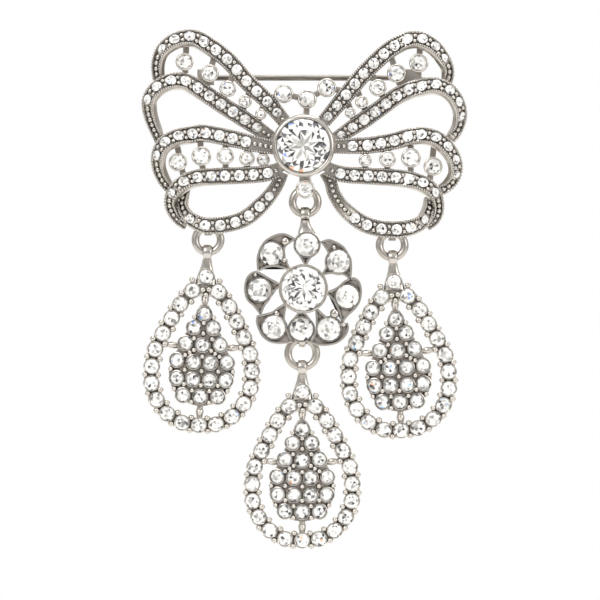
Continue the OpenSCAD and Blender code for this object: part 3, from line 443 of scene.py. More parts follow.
def drawn_steel():
    """Drawn spring-steel wire: fine marks along its length, dull grey."""
    material, tree, where = blank("drawn_steel_wire")
    # die lines 0.08 mm wide that run along the wire
    stretched = node(tree, "ShaderNodeMapping", {"Vector": where})
    stretched.inputs["Scale"].default_value = (0.04, 1.0, 1.0)
    lines = node(
        tree, "ShaderNodeTexNoise", {"Vector": stretched.outputs["Vector"]}, Scale=12000.0, Detail=2.0
    )
    colour = ramp(tree, lines.outputs["Fac"], [(0.3, linear("#6f6a65")), (0.7, linear(finish().steel))])
    rough = node(tree, "ShaderNodeMapRange", {"Value": lines.outputs["Fac"]}, To_Min=0.25, To_Max=0.42)
    bump = node(tree, "ShaderNodeBump", {"Height": lines.outputs["Fac"]}, Strength=0.15, Distance=0.00003)
    surface(
        tree,
        {
            "Base Color": colour.outputs["Color"], "Roughness": rough.outputs["Result"],
            "Normal": bump.outputs["Normal"]
        },
        Metallic=1.0
    )
    return material


def cut_crystal():
    """Foil-backed cut lead crystal, mirror smooth: the light and reflections each facet returns are painted
    into its colour.
    """
    material, tree, where = blank("foiled_cut_crystal")
    # painted light and reflection: each facet carries a colour that stands in for the light or dark it
    # reflects
    facet = node(tree, "ShaderNodeAttribute", attribute_name="facet")
    # the foil's own cloudiness, about 0.5 mm across
    cloud = node(tree, "ShaderNodeTexNoise", {"Vector": where}, Scale=2200.0, Detail=2.0)
    veil = ramp(tree, cloud.outputs["Fac"], [(0.35, linear("#f1f0ee")), (0.65, linear("#ffffff"))])
    colour = node(tree, "ShaderNodeMix", data_type="RGBA", blend_type="MULTIPLY")
    colour.inputs[0].default_value = 1.0
    tree.links.new(facet.outputs["Color"], colour.inputs[6])
    tree.links.new(veil.outputs["Color"], colour.inputs[7])
    surface(
        tree, {"Base Color": colour.outputs[2]}, Metallic=0.12, Roughness=0.04,
        IOR=1.58
    )
    return material


def seamless_paper():
    """Matt studio paper: pale, with a faint tooth."""
    material, tree, where = blank("matt_studio_paper")
    tooth = node(tree, "ShaderNodeTexNoise", {"Vector": where}, Scale=1500.0, Detail=3.0)
    colour = ramp(tree, tooth.outputs["Fac"], [(0.3, linear("#efeeec")), (0.7, linear("#f7f6f4"))])
    bump = node(tree, "ShaderNodeBump", {"Height": tooth.outputs["Fac"]}, Strength=0.1, Distance=0.0001)
    surface(
        tree,
        {"Base Color": colour.outputs["Color"], "Normal": bump.outputs["Normal"]}, Roughness=0.85
    )
    return material


# each metal is darkened in its hollows by its oxide and by painted shade
MAKERS = {
    "antiqued_and_shaded_plate": lambda: plated_metal(
        "antiqued_rhodium_plate_with_painted_shade", finish().polished, finish().tarnish_and_shade, finish().polish, 0.6, 0.0
    ),
    "antiqued_and_shaded_wire": lambda: plated_metal(
        "antiqued_rhodium_wire_with_painted_shade", "#bdb7b0", "#3f3934", finish().polish * 1.25, 0.8, 0.04
    ),
    "cast_back": lambda: plated_metal(
        "tumbled_cast_back_with_painted_shade", "#b1aba4", "#4a443f", finish().polish * 1.7, 0.6, -0.06
    ),
    "oxide": blackened_and_shaded_metal, "steel": drawn_steel, "crystal": cut_crystal, "paper": seamless_paper
}
made_materials = {}


def material(key):
    if key not in made_materials:
        made_materials[key] = MAKERS[key]()
    return made_materials[key]


# ---------- bench work ----------


def clear():
    """Leaves nothing open and nothing selected."""
    if bpy.context.object and bpy.context.object.mode != "OBJECT":
        bpy.ops.object.mode_set(mode="OBJECT")
    bpy.ops.object.select_all(action="DESELECT")


def take(obj):
    """Selects a piece alone."""
    clear()
    obj.select_set(True)
    bpy.context.view_layer.objects.active = obj


def open_mesh():
    """Opens the active piece for editing, with all of it selected."""
    bpy.ops.object.mode_set(mode="EDIT")
    bpy.ops.mesh.select_all(action="SELECT")


def close_mesh(outward=False):
    """Ends the editing; outward turns the selected faces to the outside first."""
    if outward:
        bpy.ops.mesh.normals_make_consistent(inside=False)
    bpy.ops.object.mode_set(mode="OBJECT")


def shell(name, points, faces, edges=(), slots=None):
    """A piece from its points and faces; slots gives each face's finish."""
    mesh = bpy.data.meshes.new(name)
    mesh.from_pydata([tuple(float(c) for c in p) for p in points], list(edges), list(faces))
    if slots is not None:
        mesh.polygons.foreach_set("material_index", slots)
    obj = bpy.data.objects.new(name, mesh)
    bpy.context.scene.collection.objects.link(obj)
    take(obj)
    return obj


def smooth(obj, angle=38):
    """Shades a piece smooth but for edges sharper than angle degrees."""
    take(obj)
    bpy.ops.object.shade_smooth_by_angle(angle=math.radians(angle))
    return obj


def turned(name, outline, steps=36, dark_from=None):
    """A round piece: its outline, as (radius, height) in mm, spun about its axis.

    dark_from, as (radius, height), blackens the faces inside that radius and above half that height.
    """
    obj = shell(name, [(r, 0, h) for r, h in outline], [], [(i, i + 1) for i in range(len(outline) - 1)])
    open_mesh()
    bpy.ops.mesh.spin(steps=steps, angle=math.tau, center=(0, 0, 0), axis=(0, 0, 1))
    bpy.ops.mesh.select_all(action="SELECT")
    bpy.ops.mesh.remove_doubles(threshold=0.0005)
    close_mesh(outward=True)
    if dark_from is not None:
        reach, top = dark_from
        for face in obj.data.polygons:
            c = face.center
            if math.hypot(c.x, c.y) < reach and c.z > top * 0.5:
                face.material_index = 1
    return smooth(obj)


def at(x, z, f, turn=0.0, wide=1.0, deep=1.0):
    """Stands a piece, made upright on the bench, on the front of the brooch."""
    spin = Matrix.Rotation(turn, 4, "Z") @ Matrix.Diagonal((wide, wide, deep, 1))
    face = Matrix(((1, 0, 0, x), (0, 0, -1, -f), (0, 1, 0, z), (0, 0, 0, 1)))
    return face @ spin


def frame_at(origin, along, across, out, turn=0.0, wide=1.0, deep=1.0):
    """Stands a piece on a leaning surface."""
    m = Matrix([[along[i], across[i], out[i], origin[i]] for i in range(3)] + [[0, 0, 0, 1]])
    return m @ Matrix.Rotation(turn, 4, "Z") @ Matrix.Diagonal((wide, wide, deep, 1))


def gather(name, parts, keys, body=None, nodes=(), place=None):
    """Joins copies of the bench pieces into one finished piece, in metres, and settles it on its body.

    parts is a list of (bench piece, places), and every copy has its own mesh.
    """
    whole = bmesh.new()
    for obj, places in parts:
        for m in places:
            copy = obj.data.copy()
            copy.transform(m)
            if m.to_3x3().determinant() < 0:
                copy.flip_normals()
            whole.from_mesh(copy)
            bpy.data.meshes.remove(copy)
    mesh = bpy.data.meshes.new(name)
    whole.to_mesh(mesh)
    whole.free()
    if place is not None:
        mesh.transform(place)
    mesh.transform(Matrix.Scale(MM, 4))
    for key in keys:
        mesh.materials.append(material(key))
    obj = bpy.data.objects.new(name, mesh)
    bpy.context.scene.collection.objects.link(obj)
    settle(obj, body, nodes)
    return obj


def settle(obj, body, nodes):
    """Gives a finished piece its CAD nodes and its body."""
    if nodes:
        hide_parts(*nodes)
    if body:
        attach(obj, body)


def break_edges(obj, width, angle):
    """Rounds the edges that are sharper than angle degrees."""
    edge = obj.modifiers.new("edges", "BEVEL")
    edge.width = width
    edge.segments = 2
    edge.limit_method = "ANGLE"
    edge.angle_limit = math.radians(angle)
    take(obj)
    bpy.ops.object.modifier_apply(modifier="edges")


def curve(a, b, c, d, u):
    """The point u of the way from b to c, on a smooth curve through all four."""
    return 0.5 * (
        2 * b + (c - a) * u + (2 * a - 5 * b + 4 * c - d) * u * u + (3 * b - a - 3 * c + d) * u ** 3
    )


def drop_bench(*objs):
    """Clears bench pieces away."""
    for obj in objs:
        bpy.data.objects.remove(obj)


# ---------- the ribbon's line ----------


class Line:
    """A ribbon's line through its points, and the ribbon's place at any length along it."""

    def __init__(self, points, finer=12):
        p = np.array(points, float)
        n, rows = len(p), []
        for i in range(n - 1):
            a, b, c, d = p[max(i - 1, 0)], p[i], p[i + 1], p[min(i + 2, n - 1)]
            for t in np.arange(finer) / finer:
                rows.append(curve(a, b, c, d, t))
        q = np.array(rows + [p[-1]])
        lean = np.radians(q[:, 4])
        depth = RIBBON_T / 2 * np.cos(lean) + RIBBON_W * q[:, 3] / 2 * np.sin(lean)
        self.c = np.stack([q[:, 0], -(BOW_F + GAP + q[:, 2] + depth), q[:, 1], RIBBON_W * q[:, 3], lean], 1)
        self.s = np.concatenate([[0], np.cumsum(np.linalg.norm(np.diff(self.c[:, :3], axis=0), axis=1))])
        self.length = self.s[-1]

    def value(self, v):
        """(x, y, z, width, lean) at length v."""
        return np.array([np.interp(v, self.s, self.c[:, k]) for k in range(5)])

    def place(self, v):
        """(middle, across, out, travel, width) at length v."""
        q = self.value(v)
        t = self.value(min(v + 0.2, self.length))[:3] - self.value(max(v - 0.2, 0))[:3]
        t /= np.linalg.norm(t)
        side = np.cross([0, -1, 0], t)
        side /= np.linalg.norm(side)
        up = np.cross(t, side)
        a = q[4]
        return q[:3], side * math.cos(a) - up * math.sin(a), up * math.cos(a) + side * math.sin(a), t, q[3]


def swept(name, stations, outline, dark=(), closed=False):
    """A closed outline carried along stations, each of which starts with its middle, across and out.

    Sweeps that lean and narrow as they go can't be spun or extruded.
    """
    n = len(outline(stations[0]))
    points = [
        origin + across * u + out * v for s in stations
        for origin, across, out, u, v in ((s[0], s[1], s[2], *p) for p in outline(s))
    ]
    faces, slots = [], []
    count = len(stations)
    for i in range(count if closed else count - 1):
        j = (i + 1) % count
        for k in range(n):
            m = (k + 1) % n
            faces.append((n * i + k, n * j + k, n * j + m, n * i + m))
            slots.append(1 if k in dark else 0)
    if not closed:
        faces += [tuple(range(n)), tuple(n * (count - 1) + k for k in range(n - 1, -1, -1))]
        slots += [1 if dark else 0] * 2
    obj = shell(name, points, faces, slots=slots)
    open_mesh()
    close_mesh(outward=True)
    return smooth(obj, 32)


# ---------- stones ----------

# a stone's levels for a radius of 1: girdle, crown foot, star points and table
GIRDLE, CROWN, STAR, TABLE = 0.42, 0.52, 0.72, 0.85


def brilliant(name, rich=False):
    """A round brilliant of radius 1 on its foot: 8 stars, 8 kites and 16 halves round the table.

    The table is cut into wedges that carry painted reflections of the facets below it, and a rich
    stone has two rings of them. Facets can't be had from a primitive, so they are laid one by one. Each face
    remembers its kind.
    """

    def ring(r, z, n, shift):
        angles = [math.tau * (i + shift) / n for i in range(n)]
        return [(r * math.cos(a), r * math.sin(a), z) for a in angles]

    foot, girdle, crown = ring(0.5, 0, 16, 0), ring(1, GIRDLE, 16, 0), ring(1, CROWN, 16, 0)
    star, table = ring(0.76, STAR, 8, 0.5), ring(0.58, TABLE, 8, 0)
    points = foot + girdle + crown + star + table + [(0, 0, TABLE)]
    f0, g0, c0, s0, t0, mid = 0, 16, 32, 48, 56, 64
    faces, kinds = [tuple(range(15, -1, -1))], [0]
    for i in range(16):
        j = (i + 1) % 16
        faces += [(f0 + i, f0 + j, g0 + j, g0 + i), (g0 + i, g0 + j, c0 + j, c0 + i)]
        kinds += [0, 0]
    if rich:
        inner = ring(0.34, TABLE, 8, 0.5)
        points += inner
    for i in range(8):
        j = (i + 1) % 8
        corner, next_corner, point, last = t0 + i, t0 + j, s0 + i, s0 + (i - 1) % 8
        faces.append((corner, point, next_corner))
        kinds.append(1)
        faces.append((c0 + 2 * i, point, corner, last))
        kinds.append(2)
        faces += [(c0 + 2 * i, c0 + 2 * i + 1, point), (c0 + 2 * i + 1, c0 + (2 * i + 2) % 16, point)]
        kinds += [3, 4]
        if rich:
            a, b = 65 + (i - 1) % 8, 65 + i
            faces += [(corner, next_corner, b), (corner, b, a), (a, b, mid)]
            kinds += [5, 6, 7]
        else:
            faces.append((corner, next_corner, mid))
            kinds.append(5)
    obj = shell(name, points, faces)
    obj.data.attributes.new("kind", "INT", "FACE").data.foreach_set("value", kinds)
    return obj


# the rings of a large stone, from its middle out: number of points, radius at an arm of the star,
# radius between two arms, height
RINGS = [
    (16, 0.26, 0.2, TABLE), (16, 0.56, 0.36, TABLE), (32, 0.62, 0.58, TABLE), (32, 0.76, 0.72, 0.72),
    (32, 0.88, 0.86, 0.63), (32, 1.0, 1.0, CROWN)
]


def fine_brilliant(name, seed):
    """A large brilliant of radius 1 whose table shows a painted reflection of its pavilion's star.

    It has eight arms, kites between them and rings of splinters, all a little uneven. Kinds 7 to 12 go
    from the middle out.
    """
    shaken = np.random.default_rng(seed)
    points, starts = [(0, 0, TABLE)], []
    for level, (n, arm, gap, z) in enumerate(RINGS):
        shake = 0.04 if level < len(RINGS) - 1 else 0
        starts.append(len(points))
        for i in range(n):
            a = math.tau * i / n + shaken.uniform(-shake, shake)
            r = (gap if i % 2 else arm) * (1 + shaken.uniform(-shake, shake))
            points.append((r * math.cos(a), r * math.sin(a), z))
    faces = [(0, 1 + i, 1 + (i + 1) % 16) for i in range(16)]
    kinds = [7] * 16
    for level in range(len(RINGS) - 1):
        n, wide = RINGS[level][0], RINGS[level + 1][0]
        low, high = starts[level], starts[level + 1]
        for i in range(n):
            j = (i + 1) % n
            if wide > n:
                mid, end = high + 2 * i + 1, high + (2 * i + 2) % wide
                faces += [(low + i, high + 2 * i, mid), (low + i, mid, low + j), (low + j, mid, end)]
                kinds += [10] * 3
                continue
            # the diagonals mirror each other about every arm
            if (i + level) % 2:
                faces += [(low + i, low + j, high + j), (low + i, high + j, high + i)]
            else:
                faces += [(low + i, low + j, high + i), (low + j, high + j, high + i)]
            kinds += [8, 9] if level == 0 else [min(8 + level, 12)] * 2
    edge = starts[-1]
    for r, z in ((1, GIRDLE), (0.5, 0)):
        points += [(p[0] * r, p[1] * r, z) for p in points[edge : edge + 32]]
    for i in range(32):
        j = (i + 1) % 32
        faces += [
            (edge + i, edge + 32 + i, edge + 32 + j, edge + j),
            (edge + 32 + i, edge + 64 + i, edge + 64 + j, edge + 32 + j)
        ]
    faces.append(tuple(edge + 64 + i for i in range(31, -1, -1)))
    kinds += [0] * 65
    obj = shell(name, points, faces)
    open_mesh()
    close_mesh(outward=True)
    obj.data.attributes.new("kind", "INT", "FACE").data.foreach_set("value", kinds)
    return obj


# the painted light and reflection of a facet: mostly white, some grey, a few dark, and rare painted flecks of
# fire
WHITES = ["#ffffff", "#ffffff", "#fbfaf8", "#f4f3f1"]
GREYS = ["#d9d7d4", "#c2c0bd", "#a9a7a4"]
DARKS = ["#77757a", "#4c4b4e"]
FLECKS = ["#8fb0ff", "#ffc59a", "#9fd0ff"]
# for each kind of facet, the chances of white, grey, dark and fleck
CHANCES = {
    0: (0.3, 0.5, 0.2, 0), 1: (0.62, 0.28, 0.09, 0.01), 2: (0.74, 0.2, 0.055, 0.005),
    3: (0.66, 0.24, 0.095, 0.005), 4: (0.7, 0.24, 0.055, 0.005), 5: (0.6, 0.3, 0.095, 0.005),
    6: (0.5, 0.3, 0.18, 0.02), 7: (0.1, 0.9, 0, 0), 8: (0.1, 0.9, 0, 0), 9: (0.85, 0.1, 0.05, 0),
    10: (0.6, 0.1, 0.3, 0), 11: (0.5, 0.1, 0.38, 0.02), 12: (0.58, 0.14, 0.22, 0.06)
}


# the petals' stones get paler painted light, and the flower's stone a painted reflection of its pavilion's
# star
PALE = {
    **CHANCES, 2: (0.8, 0.18, 0.02, 0), 3: (0.75, 0.22, 0.03, 0), 4: (0.75, 0.22, 0.03, 0),
    5: (0.72, 0.24, 0.04, 0), 6: (0.68, 0.26, 0.06, 0), 7: (0.5, 0.5, 0, 0)
}
STARRY = {
    **CHANCES, 7: (0.55, 0.2, 0.25, 0), 8: (0.45, 0.15, 0.4, 0), 9: (0.75, 0.15, 0.1, 0),
    10: (0.6, 0.1, 0.3, 0), 11: (0.72, 0.18, 0.1, 0), 12: (0.8, 0.14, 0.05, 0.01)
}


def paint_facet_light(obj, chances=CHANCES):
    """Paints every facet's share of light and reflection into its colour."""
    mesh = obj.data
    kinds = np.zeros(len(mesh.polygons), np.int32)
    mesh.attributes["kind"].data.foreach_get("value", kinds)
    layer = mesh.color_attributes.new("facet", "FLOAT_COLOR", "CORNER")
    groups = [[linear(c) for c in g] for g in (WHITES, GREYS, DARKS, FLECKS)]
    colours = np.zeros((len(mesh.loops), 4), np.float32)
    for face in mesh.polygons:
        group = groups[rng.choice(4, p=chances[int(kinds[face.index])])]
        colours[list(face.loop_indices)] = group[rng.integers(len(group))]
    layer.data.foreach_set("color", colours.ravel())


def stones(name, places, body, cad, rich=False, place=None, chances=CHANCES):
    """Sets stones of radius 1 at their places as one piece. rich is False, True or "fine"."""
    master = fine_brilliant("stone_master", 3) if rich == "fine" else brilliant("stone_master", rich)
    obj = gather(name, [(master, places)], ["crystal"], body, [cad], place)
    paint_facet_light(obj, chances)
    drop_bench(master)
    return obj


def seat(d):
    """How deep a stone of diameter d sits below its rim."""
    return d / 2 * CROWN + 0.13


def turn():
    """A random turn of a stone in its seat."""
    return float(rng.uniform(0, math.tau / 8))


# ---------- the pieces ----------


class BROOCH_OT_ribbons(bpy.types.Operator):
    """Channelled ribbons with milled beads on both edges and grains between the stones"""

    bl_idname = "brooch.ribbons"
    bl_label = "Ribbons"

    def execute(self, context):
        s = sizes()
        bead = ball("bead_master", s.bead_d, 8, 5)
        grain = ball("grain_master", s.grain_d, 10, 7)
        for side, n in SIDES:
            parts, stone_places = [], []
            for key in [f"{side}_{n}"] + ([f"{side}_5"] if n == 4 else []):
                line, row = Line(RIBBONS[key]), ROWS[key]
                body_mesh = swept(
                    key, [line.place(v) for v in np.linspace(0, line.length, int(line.length / 0.5))],
                    ribbon_outline, dark=(10, 11, 12)
                )
                parts.append((body_mesh, [Matrix()]))
                parts.append((bead, edge_beads(line, s.bead_d, s.bead_pitch)))
                parts.append((grain, channel_grains(line, row, s.grain_d)))
                stone_places += ribbon_stones(line, row)
            gather(
                f"{side}_ribbon_{n}_metal", parts, ["antiqued_and_shaded_plate", "oxide"], "bow", [f"{side}_ribbon_{n}"]
            )
            drop_bench(*[p[0] for p in parts[::3]])
            stones(f"{side}_ribbon_{n}_crystals", stone_places, "bow", f"{side}_ribbon_{n}_stones")
        drop_bench(bead, grain)
        return {"FINISHED"}


def ball(name, d, around, rings):
    """A cast bead: a sphere with its back pulled long, so that it roots in the metal under it."""
    clear()
    bpy.ops.mesh.primitive_uv_sphere_add(segments=around, ring_count=rings, radius=d / 2)
    obj = bpy.context.object
    obj.name = name
    for v in obj.data.vertices:
        if v.co.z < -0.01:
            v.co.z *= 1.25
    return smooth(obj, 60)


def ribbon_outline(s):
    """Round the section of a ribbon from its back: rounded walls, two raised edges and the floor between."""
    w, h, e = s[4] / 2 + OVERHANG, RIBBON_T / 2, RIBBON_EDGE + OVERHANG * 0.6
    half = [
        (w - 0.22, -h), (w - 0.06, -h + 0.06), (w, -h + 0.25), (w, h - 0.3), (w - 0.03, h - 0.2),
        (w - 0.1, h - 0.13), (w - e + 0.04, h - 0.13), (w - e - 0.02, h - 0.2), (w - e - 0.04, FLOOR)
    ]
    return half + [(-u, v) for u, v in half[::-1]]


def edge_beads(line, d, pitch):
    """The places of the milled beads on both edges of a ribbon."""
    places = []
    for k in range(int((line.length - 0.4) / pitch)):
        m, across, out, travel, w = line.place(0.2 + k * pitch)
        for side in (-1, 1):
            o = m + across * side * (w / 2 + OVERHANG - 0.2) + out * (RIBBON_T / 2 - 0.1)
            places.append(frame_at(o, travel, across, out))
    return places


def channel_grains(line, row, d):
    """The places of the grains: two between any two stones, and single ones past the row's ends."""
    start, count, pitch = row
    places = []
    for k in range(1, count):
        m, across, out, travel, w = line.place(start + (k - 0.5) * pitch)
        for side in (-1, 1):
            places.append(
                frame_at(
                    m + across * side * min(0.5, w / 2 - 0.62) + out * (FLOOR + 0.16), travel, across, out
                )
            )
    # the ends of the row carry grains alone
    before = np.arange(start - 1.45, 0.5, -0.94)
    after = np.arange(start + (count - 1) * pitch + 1.45, line.length - 0.4, 0.94)
    for v in (*before, *after):
        m, across, out, travel, w = line.place(v)
        size = min(1.1, (w - 0.6) / d)
        places.append(frame_at(m + out * (FLOOR + 0.14), travel, across, out, wide=size, deep=size))
    return places


def ribbon_stones(line, row):
    """The places of a ribbon's stones."""
    start, count, pitch = row
    places = []
    for k in range(count):
        m, across, out, travel, w = line.place(start + k * pitch)
        r = min(1.8, w - 2 * RIBBON_EDGE - 0.14) / 2
        places.append(frame_at(m + out * (FLOOR + 0.06), travel, across, out, turn(), r, r))
    return places


def cup_outline(r, h, wall, depth, foot=0.8):
    """Half the section of a bezel: a foot that flares up to a thick rounded rim, and the seat inside."""
    return [
        (0, 0), (foot * r, 0), (foot * r + 0.06, 0.08), (r * (foot + 1) / 2, h * 0.4), (r - 0.03, h * 0.66),
        (r, h - 0.3), (r - 0.03, h - 0.13), (r - wall * 0.3, h - 0.03), (r - wall * 0.55, h),
        (r - wall * 0.85, h - 0.06), (r - wall, h - 0.2), (r - wall, h - depth), (0, h - depth)
    ]


class BROOCH_OT_small_bezels(bpy.types.Operator):
    """The small bezels between the ribbons and over the centre, each a turned cup with a rounded rim"""

    bl_idname = "brooch.small_bezels"
    bl_label = "Small bezels"

    def execute(self, context):
        f = BOW_F + GAP
        for group, (h, cups) in BEZELS.items():
            masters, places = [], []
            for x, z, r in cups:
                masters.append(
                    (
                        turned(
                            f"cup_{r}", cup_outline(r, h, CUP_WALL, seat(2 * (r - CUP_WALL))),
                            dark_from=(r - 0.36, h)
                        ),
                        [at(x, z, f)]
                    )
                )
                s = r - CUP_WALL
                places.append(at(x, z, f + h - seat(2 * s) + STONE_LIFT, turn(), s, s))
            gather(f"{group}_cups", masters, ["antiqued_and_shaded_plate", "oxide"], "bow", [f"{group}_bezels"])
            drop_bench(*[m for m, _ in masters])
            stones(f"{group}_crystals", places, "bow", f"{group}_stones")
        return {"FINISHED"}


class BROOCH_OT_centre(bpy.types.Operator):
    """The large centre bezel with its stone, and the small bezel that hangs from it"""

    bl_idname = "brooch.centre"
    bl_label = "Centre setting"

    def execute(self, context):
        r, h, stone_r = 5.25, 5.4, 4.4
        depth = seat(2 * stone_r)
        outline = [
            (0, 0), (4.3, 0), (4.45, 0.15), (4.45, 2.9), (4.55, 3.15), (5.0, 3.4), (5.2, 3.7), (r, 4.2),
            (r, 4.7), (5.18, 5.0), (5.02, 5.24), (4.8, 5.38), (4.62, 5.38), (4.49, 5.28), (4.44, 5.1),
            (4.43, h - depth), (0, h - depth)
        ]
        cup = turned("centre_master", outline, 96, dark_from=(4.42, h))
        gather(
            "centre_cup", [(cup, [at(*CENTRE, BOW_F + GAP)])], ["antiqued_and_shaded_plate", "oxide"], "bow",
            ["centre_bezel"]
        )
        drop_bench(cup)
        stones(
            "centre_crystal", [at(*CENTRE, BOW_F + GAP + h - depth + STONE_LIFT, 0.2, stone_r, stone_r)],
            "bow", "centre_stone", "fine"
        )

        neck_f, neck_r, neck_h, neck_stone_r = 4.93, 1.6, 2.0, 1.25
        cup = turned(
            "neck_master", cup_outline(neck_r, neck_h, CUP_WALL, seat(2 * neck_stone_r), 0.9),
            dark_from=(1.24, neck_h)
        )
        bridge = bar("bridge_master", 2.0, 2.5, 1.2, 0.25)
        gather(
            "neck_cup",
            [(cup, [at(*MID_LUG, neck_f)]), (bridge, [at(MID_LUG[0], MID_LUG[1] + 1.75, neck_f + 0.6)])],
            ["antiqued_and_shaded_plate", "oxide"], "bow", ["neck_bezel"]
        )
        drop_bench(cup, bridge)
        stones(
            "neck_crystal",
            [
                at(
                    *MID_LUG, neck_f + neck_h - seat(2 * neck_stone_r) + STONE_LIFT, 0.3, neck_stone_r,
                    neck_stone_r
                )
            ],
            "bow", "neck_stone", True
        )
        return {"FINISHED"}


def bar(name, w, d, h, r, taper=1.0):
    """A block w by d by h, its far end tapered, with rounded edges."""
    clear()
    bpy.ops.mesh.primitive_cube_add(size=1)
    obj = bpy.context.object
    obj.name = name
    for v in obj.data.vertices:
        v.co.x *= w * (taper if v.co.y > 0 else 1)
        v.co.y *= d
        v.co.z *= h
    open_mesh()
    bpy.ops.mesh.bevel(offset=r, segments=3, affect="EDGES")
    close_mesh()
    return smooth(obj, 40)


class BROOCH_OT_rings(bpy.types.Operator):
    """Jump rings of round wire, each closed with a soldered seam"""

    bl_idname = "brooch.rings"
    bl_label = "Jump rings"

    def execute(self, context):
        for name, (x, z), r in (
            ("left", LEFT_LUG, RING_R), ("right", RIGHT_LUG, RING_R), ("flower", MID_LUG, RING_R),
            ("lower", LOW_LUG, LOW_RING_R)
        ):
            clear()
            bpy.ops.mesh.primitive_torus_add(
                major_radius=r, minor_radius=WIRE_R, major_segments=80, minor_segments=20
            )
            wire = bpy.context.object
            # the seam: one ring of points a little in, on the side of the ring
            for v in wire.data.vertices:
                angle = math.atan2(v.co.y, v.co.x)
                if abs(angle - 0.6) < 0.03:
                    core = Vector((math.cos(angle) * r, math.sin(angle) * r, 0))
                    v.co = core + (v.co - core) * 0.95
            smooth(wire, 60)
            gather(
                f"{name}_jump_ring", [(wire, [at(x, z - r, HANG_F)])], ["antiqued_and_shaded_wire"],
                f"{name}_link", [f"{name}_ring"]
            )
            drop_bench(wire)
        return {"FINISHED"}


def bail(name, width):
    """The loop that a ring hangs in: a band rounded on all sides."""
    clear()
    middle, half = (LUG_OUT + LUG_BORE) / 2 + 0.02, (LUG_OUT - LUG_BORE) / 2 - 0.02
    bpy.ops.mesh.primitive_torus_add(
        major_radius=middle, minor_radius=half, major_segments=48, minor_segments=16,
        rotation=(0, math.pi / 2, 0)
    )
    obj = bpy.context.object
    obj.name = name
    bpy.ops.object.transform_apply(location=False, rotation=True, scale=False)
    open_mesh()
    bpy.ops.transform.resize(value=(width / 2 / half, 1, 1))
    close_mesh()
    return smooth(obj, 60)


def rounded(points, corner=50, steps=4):
    """A closed outline, smooth through its points but sharp where it turns by more than corner degrees."""
    p = [Vector(q) for q in points]
    n, made = len(p), []
    sharp = [
        abs((p[i] - p[i - 1]).angle_signed(p[(i + 1) % n] - p[i])) > math.radians(corner) for i in range(n)
    ]
    for i in range(n):
        b, c = p[i], p[(i + 1) % n]
        a = b - (c - b) if sharp[i] else p[i - 1]
        d = c + (c - b) if sharp[(i + 1) % n] else p[(i + 2) % n]
        made += [curve(a, b, c, d, k / steps) for k in range(steps)]
    return made


def leaf(name, outline, t, rim, sunk):
    """A petal: a plate with a thin raised rim, sunk inside it."""
    obj = shell(name, [(p.x, p.y, 0) for p in outline], [tuple(range(len(outline)))])
    if obj.data.polygons[0].normal.z < 0:
        obj.data.flip_normals()
    open_mesh()
    bpy.ops.mesh.extrude_region_move(TRANSFORM_OT_translate={"value": (0, 0, t)})
    bpy.ops.mesh.inset(thickness=rim, use_even_offset=True)
    bpy.ops.mesh.extrude_region_move(TRANSFORM_OT_translate={"value": (0, 0, -sunk)})
    bpy.ops.mesh.select_all(action="SELECT")
    close_mesh(outward=True)
    for face in obj.data.polygons:
        if face.normal.z > 0.9 and abs(face.center.z - t + sunk) < 0.01:
            face.material_index = 1
    break_edges(obj, 0.08, 50)
    return smooth(obj, 35)


